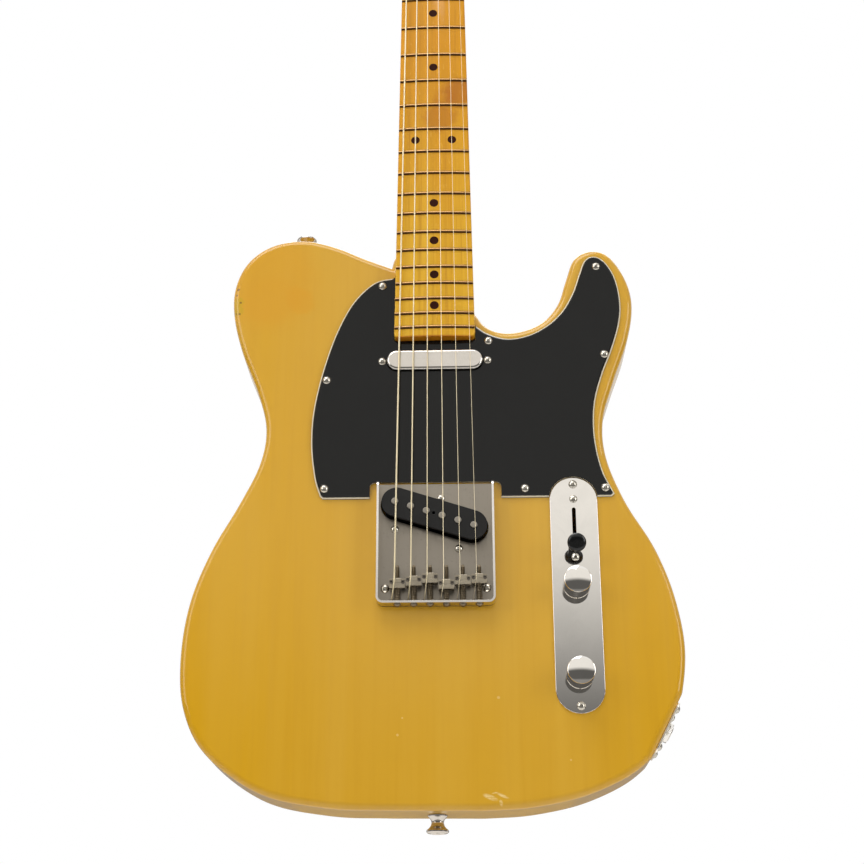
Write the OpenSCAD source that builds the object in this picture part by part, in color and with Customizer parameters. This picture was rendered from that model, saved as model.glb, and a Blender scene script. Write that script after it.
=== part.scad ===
// Solid-body electric guitar with a bolt-on neck.
// Every module is laid out on the bench plane: X across, Y from the tail to the head, Z towards the
// player's view of the front. upright() then stands the part on its tail, so that the strings run
// along +Z, the front faces -Y and the treble side is +X. The origin is the seat of the tail strap
// button, on the centre line and half way through the body.

/* [Body] */
// Thickness of the body
body_thick = 45; // [42:1:50]
// Radius of the rounded edge all round the body
edge_round = 3; // [2:0.5:4]
// Tail of the body to the bridge line
tail_to_bridge = 149; // [143:1:156]
// Widest part of the body
lower_bout = 330; // [320:1:342]
// Depth of the neck pocket
pocket_depth = 16; // [14:0.5:18]
// Length of the neck pocket
pocket_len = 70.5; // [69:0.5:74]

/* [Neck] */
// Nut to bridge line
scale_length = 648; // [635:1:660]
// Width of the neck at the nut
nut_width = 42; // [41:0.5:44]
// Width of the neck at its body end
heel_width = 56.5; // [55:0.5:58]
// Thickness of the neck in the pocket
heel_depth = 25.4; // [24:0.2:27]
// Thickness of the neck behind the first fret
neck_depth_nut = 20.5; // [19:0.5:22]
// Thickness of the neck behind the twelfth fret
neck_depth_mid = 23; // [21:0.5:24]
// Radius of the playing surface
board_radius = 240; // [180:5:400]
// Thickness of the head
head_thick = 14; // [13:0.5:16]
// Step from the playing surface down to the head's face
head_drop = 6.5; // [5.5:0.5:8]
// Width of a fret's crown
fret_width = 2.5; // [2:0.1:3]
// Height of a fret's crown
fret_height = 1.1; // [0.9:0.1:1.4]
// Diameter of the position dots
dot_d = 6.35; // [5:0.05:7]

/* [Strings] */
// Outer strings apart at the nut
nut_spread = 35; // [33:0.5:36]
// Outer strings apart at the bridge
bridge_spread = 54; // [52:0.5:55]
// Gap under the strings at the twelfth fret
action = 1.8; // [1.4:0.1:2.4]

/* [Tuners] */
// Diameter of the string posts
post_d = 6.2; // [5.8:0.1:6.6]
// Height of the posts above the head
post_height = 11; // [10:0.5:13]
// Post to post, along the neck
tuner_pitch = 25.5; // [25:0.25:27]
// Long way across a tuner button
button_len = 17; // [14:0.5:19]

/* [Bridge] */
// Width of the bridge plate
bridge_w = 78.5; // [77:0.5:82]
// Length of the bridge plate
bridge_l = 85; // [84:0.5:90]
// Height of the bridge plate's walls
bridge_wall = 10.5; // [9.5:0.5:12]
// Sheet of the bridge plate
bridge_sheet = 1.4; // [1.2:0.1:1.8]
// Width of one saddle
saddle_w = 10.3; // [9.6:0.1:10.4]

/* [Pickups] */
// Length of the bridge pickup
bridge_pickup_l = 73.5; // [70:0.5:74]
// Width of the bridge pickup
bridge_pickup_w = 20.5; // [19:0.5:22]
// Slant of the bridge pickup
bridge_pickup_slant = 18; // [14:1:18]
// Length of the neck pickup's cover
neck_pickup_l = 67; // [64:0.5:68]
// Width of the neck pickup's cover
neck_pickup_w = 15; // [14:0.5:16]

/* [Controls] */
// Length of the control plate
control_l = 160; // [158:1:164]
// Width of the control plate
control_w = 31.8; // [31:0.2:34]
// Sheet of the control plate
control_sheet = 1.2; // [1:0.1:1.6]
// Volume knob to tone knob
knob_gap = 60; // [58:1:62]
// Diameter of a knob
knob_d = 18; // [17:0.5:19]
// Height of a knob
knob_h = 15.5; // [14:0.5:17]
// Diameter of a knob's shaft
shaft_d = 6; // [5.8:0.1:6.4]
// Pickguard thickness
guard_thick = 2.4; // [2:0.1:3]

/* [Jack and strap] */
// Side of the jack plate
jack_plate_w = 36; // [34:0.5:38]
// Sheet of the jack plate
jack_sheet = 1.6; // [1.2:0.1:2]
// Bore of the output jack
jack_bore_d = 6.4; // [6.35:0.01:6.5]
// Diameter of a strap button's outer flange
strap_d = 14.6; // [13:0.1:16]
// Length of a strap button
strap_len = 12; // [11:0.5:14]

/* [Hidden] */
$fn = 48;
e = 0.01;                 // how far a cut runs past a face
slip = 0.05;              // gap of a shaft or screw in its hole, on the radius
seat = 0.15;              // gap of a part in its pocket, on each side

// --- heights on the bench plane
face = body_thick / 2;
back = -body_thick / 2;
pocket_floor = face - pocket_depth;
board = pocket_floor + heel_depth;
head_face = board - head_drop;
head_back = head_face - head_thick;

// --- places along the neck
bridge_y = tail_to_bridge;
nut_y = bridge_y + scale_length;
fret_count = 22;
function fret_y(n) = nut_y - scale_length * (1 - pow(2, -n / 12));
board_margin = 7.3;
neck_end = fret_y(fret_count) - board_margin;
neck_len = nut_y - neck_end;
mouth = neck_end + pocket_len;
nut_t = 3.4;
board_end = nut_y + nut_t + 1.2;
function half_w(y) = y > nut_y ? nut_width / 2
    : nut_width / 2 + (heel_width - nut_width) / 2 * (nut_y - y) / neck_len;

// The outline's points are given for a bridge line at 149 and a neck that ends at 323.5, so the
// tail half and the neck half of the body stretch with those two places.
drawn_bridge = 149;
drawn_neck_end = 323.5;
drawn_bout = 330;
function up(y) = y < drawn_bridge ? y * bridge_y / drawn_bridge
    : bridge_y + (y - drawn_bridge) * (neck_end - bridge_y) / (drawn_neck_end - drawn_bridge);
function bout(y) = 1 + (lower_bout / drawn_bout - 1) * max(0, min(1, (260 - y) / 100));
function place(p) = [p.x * bout(p.y), up(p.y)];

// --- curves
function blend(a, b, c, d, t) = (2 * b + (c - a) * t + (2 * a - 5 * b + 4 * c - d) * t * t
    + (3 * b - a - 3 * c + d) * t * t * t) / 2;
function spline(p, steps = 5) = let (n = len(p)) [
    for (i = [0 : n - 2]) for (k = [0 : steps - 1])
        blend(i == 0 ? 2 * p[0] - p[1] : p[i - 1], p[i], p[i + 1],
            i == n - 2 ? 2 * p[n - 1] - p[n - 2] : p[i + 2], k / steps),
    p[n - 1]];
function arc(c, r, from, to, steps = 5) = [
    for (k = [0 : steps]) let (a = from + (to - from) * k / steps) c + r * [cos(a), sin(a)]];
function unit(v) = v / norm(v);
// Moves every side of a closed outline inwards; the outline runs anticlockwise
function inset(p, d) = let (n = len(p)) [
    for (i = [0 : n - 1]) let (
        u = unit(p[i] - p[(i + n - 1) % n]),
        v = unit(p[(i + 1) % n] - p[i]),
        m = unit([-u.y - v.y, u.x + v.x]))
    p[i] + m * d / max(0.5, m * [-u.y, u.x])];

// --- outline of the body, anticlockwise from the bass side of the neck
bass_side = [
    [-50, 391.5], [-72, 401.5], [-95, 407], [-118, 403], [-135, 390], [-143.5, 370], [-143.5, 347],
    [-136.5, 319], [-124, 287], [-117.5, 260], [-121, 234], [-134, 205], [-151.5, 172],
    [-164, 137], [-168.5, 100], [-165, 65], [-149, 35.5], [-113, 10.5], [-70, 1.5], [-35, 0.15]];
tail = [[-20, 0], [-9, 0], [9, 0], [20, 0], [35, 0.15]];
treble_side = [
    [64, 2.5], [99, 11], [132, 29], [153, 59], [161.5, 98], [157.5, 136], [146, 171], [128, 204],
    [116.5, 236], [115.5, 264], [124, 293], [135, 324], [139.5, 350], [136, 371], [125, 390],
    [112, 394.5], [100, 388], [93.5, 371], [87.5, 353], [77, 339.5], [63, 332.5], [48, 331],
    [36, 336], [28.5, 346]];
heel_round = 7;
heel_x = half_w(mouth) - 0.3;
shoulder = [-half_w(mouth) - 3.6, up(383.5)];
body_line = concat(
    spline(concat([shoulder], [for (p = concat(bass_side, tail, treble_side)) place(p)]), 4),
    [[heel_x, up(352)]],
    arc([heel_x - heel_round, mouth - heel_round], heel_round, 0, 90),
    arc([shoulder.x + heel_round + 1, mouth - heel_round], heel_round, 90, 170));

// --- places on the front
bridge_front = bridge_y + 67.6;
bridge_rear = bridge_front - bridge_l;
pickup_at = [-0.8, bridge_y + 44.8];
neck_pickup_y = up(307.8);
neck_ear = 36.85;
control_x = 92.7;
control_y = bridge_y - 8.7;
control_end = control_l / 2 - 4.8;
volume_y = bridge_y - 3.7;
tone_y = volume_y - knob_gap;
switch_y = bridge_y + 35.7;
switch_half = 20.35;
slot_l = 28.6;
slot_w = 2.6;
guard_end = bridge_y + 57.7;
jack_turn = -28;
jack_at = place([148.6, 52.4]);
jack_flat = 1.8;
horn_button = place([-95, 407]);

guard_screws = [
    for (p = [[-37, 366.5], [-75.5, 294], [118, 311], [115, 379.5], [37.5, 322.5]]) place(p),
    [-75.5, guard_end + 7], [60.5, guard_end + 6], [114.5, guard_end + 6]];
control_screws = [for (s = [-1, 1]) [control_x, control_y + s * control_end]];
switch_screws = [for (s = [-1, 1]) [control_x, switch_y + s * switch_half]];
neck_screw_at = [for (x = [-19, 19], y = [-22.5, 22.5]) [x, (neck_end + mouth) / 2 + y]];
bridge_screw_at = [for (s = [-1, 1]) [s * (bridge_w / 2 - 5.6), bridge_rear + 12]];
pickup_screw_at = [[0.5, 13.4], [-22.5, -16.8], [22.5, -16.8]];

// --- strings
gauges = [1.17, 0.91, 0.66, 0.43, 0.33, 0.25];
nut_clear = 0.4;
nut_gap = fret_height + nut_clear;
bridge_gap = 2 * (fret_height + action) - nut_gap;
crest_back = [2.2, 1, -0.8, 3.5, 0.4, -0.6];
function nut_x(i) = nut_spread * (i / 5 - 0.5);
function bridge_x(i) = bridge_spread * (i / 5 - 0.5);
function string_x(i, y) = nut_x(i) + (bridge_x(i) - nut_x(i)) * (nut_y - y) / scale_length;
function drop(x) = board_radius - sqrt(board_radius * board_radius - x * x);
function crest(i) = [bridge_x(i), bridge_y - crest_back[i],
    board + bridge_gap - drop(bridge_x(i)) + gauges[i] / 2];
function at_nut(i) = [nut_x(i), nut_y, board + nut_gap - drop(nut_x(i)) + gauges[i] / 2];
string_hole_y = bridge_rear + 3.4;
string_hole_d = 2.4;
function hole_x(i) = bridge_x(i) - 2.2;
screw_x = 1.7;
screw_z = face + 5.4;
saddle_sheet = 1.7;

// --- tuners
first_post = 38;
winding = [3, 3, 4, 4, 5, 5];
function post_y(i) = nut_y + first_post + i * tuner_pitch;
function wrap_r(i) = post_d / 2 + slip + gauges[i] / 2;
function post_at(i) = [string_x(i, post_y(i)) - wrap_r(i), post_y(i)];
tuner_turn = atan2(post_at(5).y - post_at(0).y, post_at(5).x - post_at(0).x) - 90;
bush_flange = 1;
bush_hex = 1.6;
wrap_gap = 1.05;          // rise of one turn of string, in gauges
wrap_low = head_face + bush_flange + bush_hex + 0.3;
function wrap_z(i) = wrap_low + gauges[i] * (0.5 + wrap_gap * (winding[i] - 1));
tree_y = [nut_y + 66, nut_y + 52];
tree_x = [for (k = [0, 1]) (string_x(2 + 2 * k, tree_y[k]) + string_x(3 + 2 * k, tree_y[k])) / 2];
tree_gap = 3.2;
worm_reach = 7;
gear_z = head_back - 4.6;

// --- screws and their holes
small_head = 5.8;
small_shank = 2.4;
small_screw_l = 11;
small_pilot = 2.6;
small_clear = 3.4;
tiny_head = 4.4;
tiny_shank = 1.9;
tiny_pilot = 2;
machine_head = 5.8;
machine_shank = 2.9;
wood_shank = 3.5;
wood_pilot = 3.6;
neck_shank = 4.4;
neck_clear = 5;
jack_screw = jack_plate_w / 2 - 4.5;

// ---------------------------------------------------------------- shared shapes
module upright() rotate([90, 0, 0]) children();

module stadium(l, w) {
    square([l - w, w], center = true);
    for (s = [-1, 1]) translate([s * (l - w) / 2, 0]) circle(d = w);
}

module round_rect(w, h, r) {
    square([w - 2 * r, h], center = true);
    square([w, h - 2 * r], center = true);
    for (x = [-1, 1], y = [-1, 1]) translate([x * (w / 2 - r), y * (h / 2 - r)]) circle(r = r);
}

module at(p, z = 0) translate([p.x, p.y, z]) children();

// A straight round length between two points
module rod(a, b, d) {
    v = b - a;
    translate(a) rotate([0, acos(v.z / norm(v)), atan2(v.y, v.x)]) cylinder(h = norm(v), d = d);
}

// A bent round length through several points, with a ball at each bend
module wire(p, d) {
    for (i = [0 : len(p) - 2]) rod(p[i], p[i + 1], d);
    for (i = [1 : len(p) - 2]) translate(p[i]) sphere(d = d * 1.15);
}

// A flat-laid lead through several points, at one height
module lead(p, d, z) translate([0, 0, z]) linear_extrude(d)
    for (i = [0 : len(p) - 2]) let (v = p[i + 1] - p[i]) translate(p[i]) rotate(atan2(v.y, v.x))
        translate([0, -d / 2]) square([norm(v) + (i < len(p) - 2 ? d / 2 : 0), d]);

// Cross-slot screw: the underside of the head lies at the origin and the shank points down
module screw(head, shank, length, rise = 0.34) {
    h = head * rise;
    r = (head * head / 4 + h * h) / (2 * h);
    difference() {
        intersection() {
            translate([0, 0, h - r]) sphere(r = r);
            cylinder(h = h, d = head);
        }
        for (a = [0, 90]) rotate(a) translate([-head * 0.28, -head * 0.08, h * 0.35])
            cube([head * 0.56, head * 0.16, h]);
    }
    translate([0, 0, -length + shank]) cylinder(h = length - shank + e, d = shank);
    translate([0, 0, -length]) cylinder(h = shank, d1 = shank * 0.2, d2 = shank);
}

module hex(af, h, hole) difference() {
    cylinder(h = h, d = af / cos(30), $fn = 6);
    translate([0, 0, -e]) cylinder(h = h + 2 * e, d = hole);
}

// ---------------------------------------------------------------- body
module body_blank() {
    steps = 4;
    for (k = [0 : steps]) let (a = 90 * k / steps, t = body_thick - 2 * edge_round * (1 - sin(a)))
        translate([0, 0, -t / 2]) linear_extrude(t)
            polygon(inset(body_line, edge_round * (1 - cos(a)) + 0.001 * k));
}

module pocket(gap) {
    low = neck_end - gap;
    high = mouth + 20;
    polygon([[-half_w(low) - gap, low], [half_w(low) + gap, low],
        [half_w(high) + gap, high], [-half_w(high) - gap, high]]);
}

cavity_w = 27;
cavity_depth = 36;
channel_d = 9;
channel_z = face - 13;
neck_rout = [neck_ear * 2 + 12, neck_pickup_w + 4, 17];
bridge_rout = [74, 52, 20];
bridge_rout_y = bridge_front - 28.5;
string_bore = 3.2;
ferrule_d = 8;
ferrule_lip = 10;
ferrule_len = 9;

module on_jack_flat() {
    translate([jack_at.x, jack_at.y, 0]) rotate([0, 0, jack_turn]) rotate([0, 90, 0])
        translate([0, 0, -jack_flat]) children();
}

module body() upright() color("#deb050") difference() {
    body_blank();
    translate([0, 0, pocket_floor]) linear_extrude(body_thick) pocket(seat);
    translate([0, neck_pickup_y, face - neck_rout.z]) linear_extrude(neck_rout.z + e)
        stadium(neck_rout.x, neck_rout.y);
    translate([0, bridge_rout_y, face - bridge_rout.z]) linear_extrude(bridge_rout.z + e)
        round_rect(bridge_rout.x, bridge_rout.y, 6);
    translate([control_x, control_y, face - cavity_depth]) linear_extrude(cavity_depth + e)
        rotate(90) stadium(control_l - 18, cavity_w);
    translate([0, bridge_rout_y, channel_z]) rotate([-90, 0, 0])
        cylinder(h = neck_pickup_y - bridge_rout_y, d = channel_d);
    translate([0, bridge_rout_y, channel_z - 2]) rotate([0, 90, 0])
        cylinder(h = control_x, d = channel_d);
    on_jack_flat() {
        translate([-jack_plate_w, -jack_plate_w, 0]) cube([2, 2, 1] * jack_plate_w);
        translate([0, 0, -50]) cylinder(h = 51, d = 22);
        for (x = [-1, 1], y = [-1, 1])
            translate([x * jack_screw, y * jack_screw, -13]) cylinder(h = 14, d = small_pilot);
    }
    for (i = [0 : 5]) translate([hole_x(i), string_hole_y, 0]) {
        translate([0, 0, back - e]) cylinder(h = body_thick + 2 * e, d = string_bore);
        translate([0, 0, back - e]) cylinder(h = ferrule_len + e, d = ferrule_d + 2 * slip);
        translate([0, 0, back - e]) cylinder(h = 1.2 + e, d = ferrule_lip + 2 * slip);
    }
    for (p = neck_screw_at) at(p, back - e) cylinder(h = body_thick, d = neck_clear);
    for (p = concat(guard_screws, control_screws))
        at(p, face - 10) cylinder(h = 10 + e, d = small_pilot);
    for (p = bridge_screw_at) at(p, face - 24) cylinder(h = 24 + e, d = wood_pilot);
    translate([0, -e, 0]) rotate([-90, 0, 0]) cylinder(h = 26, d = wood_pilot);
    at(horn_button, 0) rotate([90, 0, 0]) translate([0, 0, -5]) cylinder(h = 30, d = wood_pilot);
    for (s = [-1, 1]) translate([s * neck_ear, neck_pickup_y, face - neck_rout.z - 8])
        cylinder(h = 9, d = 3.2);
}

// ---------------------------------------------------------------- pickguard
guard_gap = 0.5;
notch = [bridge_w / 2 + 5.3, bridge_front + 1.2];
notch_round = 3.5;
guard_left = [
    [-43, 369.5], [-58, 354], [-70, 329], [-79, 299], [-84.5, 270], [-85.3, 245], [-82.5, 222]];
guard_right = [
    [113, 226], [109, 250], [110, 274], [116, 296], [123.5, 315], [129.5, 335], [131, 352],
    [128, 371], [121, 384], [113.5, 388], [107, 384.5], [102.5, 373], [98, 360], [90.5, 346],
    [80, 335], [66, 327], [51, 324.5], [37.5, 328.5]];
guard_line = concat(
    spline(concat([[-half_w(up(373.5)) - guard_gap, up(373.5)]], [for (p = guard_left) place(p)],
        [[-78.5, guard_end + 2]]), 4),
    [[-76.5, guard_end], [-notch.x, guard_end]],
    arc([-notch.x + notch_round, notch.y - notch_round], notch_round, 180, 90, 4),
    arc([notch.x - notch_round, notch.y - notch_round], notch_round, 90, 0, 4),
    [[notch.x, guard_end], [118.5, guard_end]],
    spline(concat([[120.5, guard_end + 2]], [for (p = guard_right) place(p)],
        [[half_w(up(335)) + guard_gap, up(335)]]), 4),
    [[half_w(neck_end) + guard_gap, neck_end - guard_gap],
        [-half_w(neck_end) - guard_gap, neck_end - guard_gap]]);

module pickguard() upright() color("#1a1a1a") difference() {
    translate([0, 0, face]) {
        linear_extrude(guard_thick * 0.35) polygon(guard_line);
        linear_extrude(guard_thick * 0.65) polygon(inset(guard_line, 0.5));
        linear_extrude(guard_thick) polygon(inset(guard_line, 1));
    }
    translate([control_x, control_y, face - e]) linear_extrude(guard_thick + 2 * e)
        rotate(90) stadium(control_l + 2 * guard_gap, control_w + 2 * guard_gap);
    translate([0, neck_pickup_y, face - e]) linear_extrude(guard_thick + 2 * e)
        stadium(neck_pickup_l + 1, neck_pickup_w + 1);
    for (p = guard_screws) at(p, face - e) cylinder(h = guard_thick + 2 * e, d = small_clear);
    for (s = [-1, 1]) translate([s * neck_ear, neck_pickup_y, face - e])
        cylinder(h = guard_thick + 2 * e, d = 3.6);
}

module plate_screws() upright() color("#c8c8c8") {
    for (p = guard_screws) at(p, face + guard_thick) screw(small_head, small_shank, small_screw_l);
    for (p = control_screws) at(p, face + control_sheet)
        screw(small_head, small_shank, small_screw_l - 0.5);
    on_jack_flat() for (x = [-1, 1], y = [-1, 1])
        translate([x * jack_screw, y * jack_screw, jack_sheet])
            screw(small_head, small_shank, small_screw_l);
}

// ---------------------------------------------------------------- neck joint and strap
plate_t = 1.8;
neck_plate_w = 50.5;
neck_plate_l = pocket_len - 10.5;
module neck_plate() upright() color("#d0d0d0") difference() {
    translate([0, (neck_end + mouth) / 2, back - plate_t]) linear_extrude(plate_t)
        round_rect(neck_plate_w, neck_plate_l, 5);
    for (p = neck_screw_at) at(p, back - plate_t - e) cylinder(h = plate_t + 2 * e, d = neck_clear);
}

neck_screw_l = 43;
module neck_screws() upright() color("#c4c4c4") for (p = neck_screw_at)
    at(p, back - plate_t) rotate([180, 0, 0]) screw(8.6, neck_shank, neck_screw_l, 0.28);

strap_waist = strap_d - 6.6;
strap_hollow = 15.4;
strap_bore = 4.4;
module strap_button() difference() {
    cylinder(h = strap_len, d = strap_d);
    rotate_extrude() translate([(strap_waist + strap_hollow) / 2, strap_len / 2 - 0.4])
        circle(d = strap_hollow);
    rotate_extrude() translate([strap_d / 2 - 0.8, -e]) square([2, 1.4]);
    translate([0, 0, -e]) cylinder(h = strap_len + 2 * e, d = strap_bore);
    translate([0, 0, strap_len - 3]) cylinder(h = 3 + e, d1 = strap_bore, d2 = 2 * strap_bore);
}

module at_strap_buttons() {
    rotate([90, 0, 0]) children();
    at(horn_button, 0) rotate([-90, 0, 0]) children();
}

module strap_buttons() upright() color("#cfcfcf") at_strap_buttons() strap_button();

strap_screw_l = 33;
module strap_screws() upright() color("#bdbdbd") at_strap_buttons()
    translate([0, 0, strap_len - 2.9]) difference() {
        union() {
            cylinder(h = 2.8, d1 = 4.2, d2 = 8.4);
            translate([0, 0, 3 - strap_screw_l]) cylinder(h = strap_screw_l - 3 + e, d = wood_shank);
            translate([0, 0, -strap_screw_l]) cylinder(h = 3, d1 = 1, d2 = wood_shank);
        }
        for (a = [0, 90]) rotate(a) translate([-2.4, -0.6, 1.2]) cube([4.8, 1.2, 3]);
    }

module string_ferrules() upright() color("#c9c9c9") for (i = [0 : 5])
    translate([hole_x(i), string_hole_y, back]) difference() {
        union() {
            cylinder(h = ferrule_len, d = ferrule_d);
            cylinder(h = 1.2, d = ferrule_lip);
        }
        translate([0, 0, -e]) cylinder(h = ferrule_len - 2, d = 5);
        cylinder(h = ferrule_len + e, d = string_hole_d);
    }

// ---------------------------------------------------------------- neck
blade = 6;                 // square-sided part under the playing surface
rod_d = 5;
rod_z = board - 11;
stripe_w = 5.6;
stripe_from = neck_end + 12;
stripe_len = neck_len - 30;
stripe_low = board - heel_depth - 4.6;
end_round = 3;

module neck_plan(low, high) {
    r = low == neck_end ? end_round : 0.01;
    polygon(concat(arc([-half_w(low) + r, low + r], r, 180, 270, 4),
        arc([half_w(low) - r, low + r], r, 270, 360, 4),
        [[half_w(high), high], [-half_w(high), high]]));
}

module board_blank() intersection() {
    translate([0, 0, board - blade]) linear_extrude(blade + 1) neck_plan(neck_end, board_end);
    translate([0, 0, board - board_radius]) rotate([-90, 0, 0])
        cylinder(h = board_end + 50, r = board_radius, $fn = 200);
}

// Depth and squareness of the back of the neck at a distance from the nut
heel_from = neck_len - pocket_len;
function ease(t) = let (s = max(0, min(1, t))) s * s * (3 - 2 * s);
function taper(u) = neck_depth_nut + (neck_depth_mid - neck_depth_nut) * u / (scale_length / 2);
function back_depth(u) = taper(u) + (heel_depth - taper(u)) * ease((u - heel_from + 34) / 34);
function back_power(u) = 2.1 + 5 * ease((u - heel_from + 30) / 34);
function back_ring(u) = let (n = back_power(u), w = half_w(nut_y - u) - 0.02) concat(
    [[w, nut_y - u, board - blade / 2]],
    [for (k = [0 : 18]) let (a = 10 * k) [
        w * sign(cos(a)) * pow(abs(cos(a)), 2 / n), nut_y - u,
        board - blade - (back_depth(u) - blade) * pow(abs(sin(a)), 2 / n)]],
    [[-w, nut_y - u, board - blade / 2]]);
shaft_steps = [-14, 0, 60, 180, 300, heel_from - 34, heel_from - 24, heel_from - 14,
    heel_from - 6, heel_from + 2, heel_from + 6];

module shaft_back() {
    rings = [for (u = shaft_steps) back_ring(u)];
    n = len(rings[0]);
    m = len(rings);
    polyhedron(
        points = [for (r = rings) for (p = r) p],
        faces = concat(
            [[for (k = [0 : n - 1]) n - 1 - k]],
            [[for (k = [0 : n - 1]) (m - 1) * n + k]],
            [for (j = [0 : m - 2]) for (k = [0 : n - 1]) let (q = (k + 1) % n)
                [j * n + k, j * n + q, (j + 1) * n + q]],
            [for (j = [0 : m - 2]) for (k = [0 : n - 1]) let (q = (k + 1) % n)
                [j * n + k, (j + 1) * n + q, (j + 1) * n + k]]));
}

// Plain blade-shaped head, six tuners along its bass edge
tuner_edge = 11.5;
function along_head(d, out) = let (p = post_at(0), a = tuner_turn + 90)
    [p.x, p.y] + d * [cos(a), sin(a)] + out * [cos(a + 90), sin(a + 90)];
post_run = norm(post_at(5) - post_at(0));
head_line = spline(concat(
    [[nut_width / 2, nut_y - 3], [nut_width / 2, nut_y + 10], [nut_width / 2 + 2.5, nut_y + 36],
        [nut_width / 2 + 7, nut_y + 84]],
    [along_head(post_run - 16, -26), along_head(post_run + 13, -27.5),
        along_head(post_run + 25, -20), along_head(post_run + 30, -6),
        along_head(post_run + 27, 6), along_head(post_run + 17, tuner_edge - 0.7),
        along_head(post_run - 8, tuner_edge), along_head(post_run / 2, tuner_edge),
        along_head(12, tuner_edge), along_head(-8, tuner_edge - 0.8)],
    [[-nut_width / 2 - 6.5, nut_y + 18], [-nut_width / 2 - 1, nut_y + 8],
        [-nut_width / 2, nut_y - 3]]), 5);
scoop = 16;
scoop_rise = head_drop - 1.5;
scoop_y = board_end + sqrt(scoop * scoop - pow(scoop - scoop_rise, 2));

module head_blank() difference() {
    translate([0, 0, head_back]) linear_extrude(head_thick + scoop_rise) polygon(head_line);
    translate([-60, scoop_y, head_face + scoop]) rotate([0, 90, 0]) cylinder(h = 140, r = scoop);
    translate([-60, scoop_y, head_face]) cube([140, 300, 30]);
    translate([-60, board_end, board - 1.5 - e]) cube([140, 300, 30]);
}

dot_frets = [3, 5, 7, 9, 12, 15, 17, 19, 21];
dot_pair = 13.4;
side_dot_d = 2.2;
dot_depth = 3;
module dot_bores(gap) {
    for (n = dot_frets) let (y = (fret_y(n) + fret_y(n - 1)) / 2) {
        for (x = n == 12 ? [-dot_pair, dot_pair] : [0])
            translate([x, y, board - dot_depth]) cylinder(h = dot_depth + 2, d = dot_d + 2 * gap);
        for (x = n == 12 ? [-3, 3] : [0])
            translate([-half_w(y) - 3, y + x, board - dot_depth]) rotate([0, 90, 0])
                cylinder(h = 4.5, d = side_dot_d + 2 * gap);
    }
}

module rod_channel() translate([-stripe_w / 2, stripe_from, stripe_low])
    cube([stripe_w, stripe_len, rod_z + rod_d / 2 + 0.1 - stripe_low]);

module neck() upright() color("#dc9b32") difference() {
    union() {
        board_blank();
        shaft_back();
        head_blank();
        translate([0, 0, pocket_floor]) linear_extrude(heel_depth - blade / 2)
            neck_plan(neck_end, mouth + 2);
    }
    for (n = [1 : fret_count]) translate([-40, fret_y(n) - 0.3, board - 4.4]) cube([80, 0.6, 9]);
    translate([-40, nut_y, board - 3]) cube([80, nut_t + 0.1, 9]);
    dot_bores(0);
    rod_channel();
    translate([0, neck_end - e, rod_z]) rotate([-90, 0, 0]) cylinder(h = 14, d = 9);
    for (i = [0 : 5]) at(post_at(i), head_back - e) cylinder(h = head_thick + 1, d = 9.2);
    for (i = [0 : 5]) on_tuner(i) translate([0, -lug_screw, -e]) cylinder(h = 7, d = tiny_pilot);
    for (k = [0, 1]) translate([tree_x[k], tree_y[k], head_face - 9])
        cylinder(h = 12, d = tiny_pilot);
    for (p = neck_screw_at) at(p, pocket_floor - e) cylinder(h = 15.5, d = 4.6);
}

module skunk_stripe() upright() color("#5a3218") intersection() {
    shaft_back();
    translate([-stripe_w / 2 + slip, stripe_from + slip, stripe_low])
        cube([stripe_w - 2 * slip, stripe_len - 2 * slip, rod_z - rod_d / 2 - slip - stripe_low]);
}

module truss_rod() upright() color("#9a9a9a") {
    translate([0, neck_end + 4, rod_z]) rotate([-90, 0, 0]) cylinder(h = neck_len - 34, d = rod_d);
    translate([0, nut_y - 34, rod_z]) cube([stripe_w - 0.2, 8, rod_d], center = true);
}

module truss_rod_nut() upright() color("#b5a060") translate([0, neck_end + 1, rod_z])
    rotate([-90, 0, 0]) difference() {
        cylinder(h = 12, d = 8.8);
        translate([0, 0, 2.9]) cylinder(h = 10, d = rod_d + 2 * slip);
        for (a = [0, 90]) rotate(a) translate([-5, -0.8, -e]) cube([10, 1.6, 1.8]);
    }

module nut() upright() color("#e8dfc8") difference() {
    intersection() {
        translate([-nut_width / 2, nut_y + 0.05, board - 2.95]) cube([nut_width, nut_t, 8]);
        translate([0, 0, board - board_radius]) rotate([-90, 0, 0])
            cylinder(h = nut_y + 50, r = board_radius + nut_gap + 0.7, $fn = 200);
    }
    for (i = [0 : 5]) let (p = at_nut(i), d = gauges[i] * 1.15 + 0.06)
        translate([p.x, nut_y - 5, p.z]) rotate([-90, 0, 0]) {
            cylinder(h = 20, d = d);
            translate([-d / 2, -5, 0]) cube([d, 5, 20]);
        }
}

module frets() upright() color("#c6c2b8") for (n = [1 : fret_count]) {
    y = fret_y(n);
    w = half_w(y) - 0.2;
    swing = asin(w / board_radius);
    crown = (fret_width * fret_width / 4 + fret_height * fret_height) / (2 * fret_height);
    translate([0, y, board - board_radius]) rotate([90, 0, 0]) rotate([0, 0, 90 - swing])
        rotate_extrude(angle = 2 * swing, $fn = 200) {
            intersection() {
                translate([board_radius + fret_height - crown, 0]) circle(r = crown);
                translate([board_radius + 0.02, -fret_width / 2]) square([fret_height, fret_width]);
            }
            translate([board_radius - 1.6, -0.25]) square([1.65, 0.5]);
        }
}

module position_dots() upright() color("#3a2418") intersection() {
    board_blank();
    dot_bores(-0.02);
}

// ---------------------------------------------------------------- tuners
// Bench frame of one tuner: the post rises from the head's back, +X points off the bass edge
module on_tuner(i) at(post_at(i), head_back) rotate(tuner_turn + 180) mirror([0, 1, 0]) children();

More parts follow.
